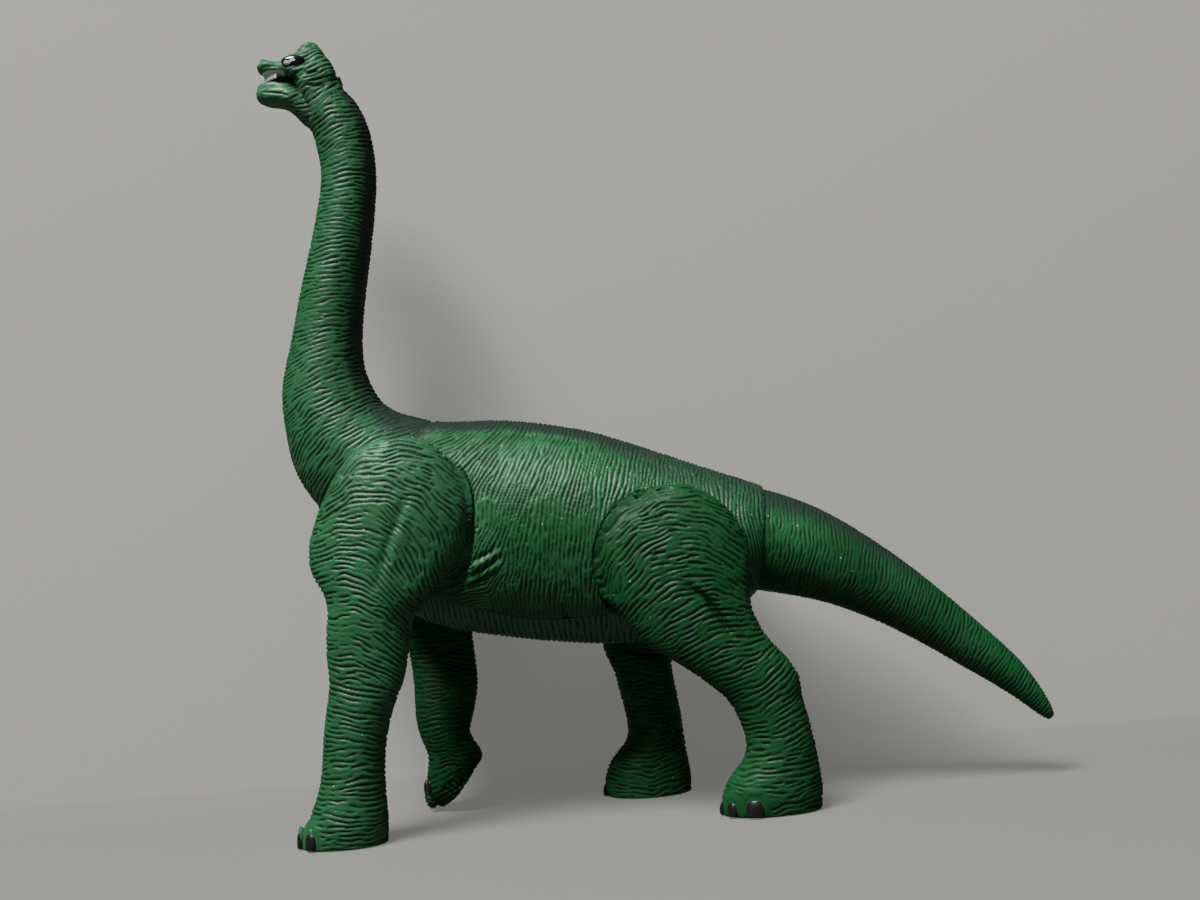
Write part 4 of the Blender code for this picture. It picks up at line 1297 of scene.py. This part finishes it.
class DressLegs(bpy.types.Operator):
    """Dress the four legs with their wrinkled skins"""

    bl_idname = "dinosaur.dress_legs"
    bl_label = "Dress Legs"

    def execute(self, context):
        dress(context, LEGS)
        return {"FINISHED"}


class AddClaws(bpy.types.Operator):
    """Put black painted claws on the feet"""

    bl_idname = "dinosaur.add_claws"
    bl_label = "Add Claws"

    def execute(self, context):
        build_paint("claw_black", (0.008, 0.009, 0.009), 0.22, (0.012, 0.04, 0.02))
        for leg in LEGS:
            build_claws(leg)
        return {"FINISHED"}


class AddTeeth(bpy.types.Operator):
    """Set the silver upper teeth round the lip"""

    bl_idname = "dinosaur.add_teeth"
    bl_label = "Add Teeth"

    def execute(self, context):
        look = context.scene.dinosaur_look
        _, silver = build_paint("tooth_silver", look.silver, 0.32, (0.22, 0.26, 0.23))
        silver.inputs["Specular IOR Level"].default_value = 0.7
        build_teeth()
        return {"FINISHED"}


class AddEyes(bpy.types.Operator):
    """Paint the long black eyes with white glints painted on as highlights"""

    bl_idname = "dinosaur.add_eyes"
    bl_label = "Add Eyes"

    def execute(self, context):
        build_eye_paint()
        build_eyes()
        return {"FINISHED"}


class AddMouthLining(bpy.types.Operator):
    """Fill the corner of the mouth with its dark web of vinyl"""

    bl_idname = "dinosaur.add_mouth_lining"
    bl_label = "Add Mouth Lining"

    def execute(self, context):
        build_paint("dark_vinyl", (0.004, 0.014, 0.007), 0.3, (0.01, 0.05, 0.02))
        build_mouth()
        return {"FINISHED"}


class AddNapeNub(bpy.types.Operator):
    """Add the small peg of moulding flash at the nape"""

    bl_idname = "dinosaur.add_nape_nub"
    bl_label = "Add Nape Nub"

    def execute(self, context):
        build_paint("flash_vinyl", (0.004, 0.014, 0.007), 0.3, (0.01, 0.05, 0.02))
        build_nub()
        return {"FINISHED"}


class BuildStage(bpy.types.Operator):
    """Set up the floor, backdrop, light and camera"""

    bl_idname = "dinosaur.build_stage"
    bl_label = "Build Stage"

    def execute(self, context):
        look = context.scene.dinosaur_look
        build_floor(look)
        build_backdrop(look)
        build_lights()
        build_camera()
        context.scene.view_settings.view_transform = "Standard"
        return {"FINISHED"}


class DinosaurPanel(bpy.types.Panel):
    """Lists the steps in the sidebar"""

    bl_idname = "VIEW3D_PT_dinosaur"
    bl_label = "Dinosaur"
    bl_space_type = "VIEW_3D"
    bl_region_type = "UI"
    bl_category = "Dinosaur"

    def draw(self, context):
        look = context.scene.dinosaur_look
        for name in look.bl_rna.properties.keys():
            if name not in ("rna_type", "name"):
                self.layout.prop(look, name)
        for operator in OPERATORS:
            self.layout.operator(operator.bl_idname)


OPERATORS = (
    DressBody, DressNeck, DressHead, DressTail, DressLegs, AddClaws, AddTeeth, AddEyes, AddMouthLining,
    AddNapeNub, BuildStage,
)
CLASSES = (DinosaurLook, *OPERATORS, DinosaurPanel)


def register():
    for item in CLASSES:
        bpy.utils.register_class(item)
    bpy.types.Scene.dinosaur_look = PointerProperty(type=DinosaurLook)


def unregister():
    del bpy.types.Scene.dinosaur_look
    for item in reversed(CLASSES):
        bpy.utils.unregister_class(item)


def main():
    register()
    bpy.ops.dinosaur.dress_body()
    bpy.ops.dinosaur.dress_neck()
    bpy.ops.dinosaur.dress_head()
    bpy.ops.dinosaur.dress_tail()
    bpy.ops.dinosaur.dress_legs()
    bpy.ops.dinosaur.add_claws()
    bpy.ops.dinosaur.add_teeth()
    bpy.ops.dinosaur.add_eyes()
    bpy.ops.dinosaur.add_mouth_lining()
    bpy.ops.dinosaur.add_nape_nub()
    bpy.ops.dinosaur.build_stage()


if __name__ == "__main__":
    main()
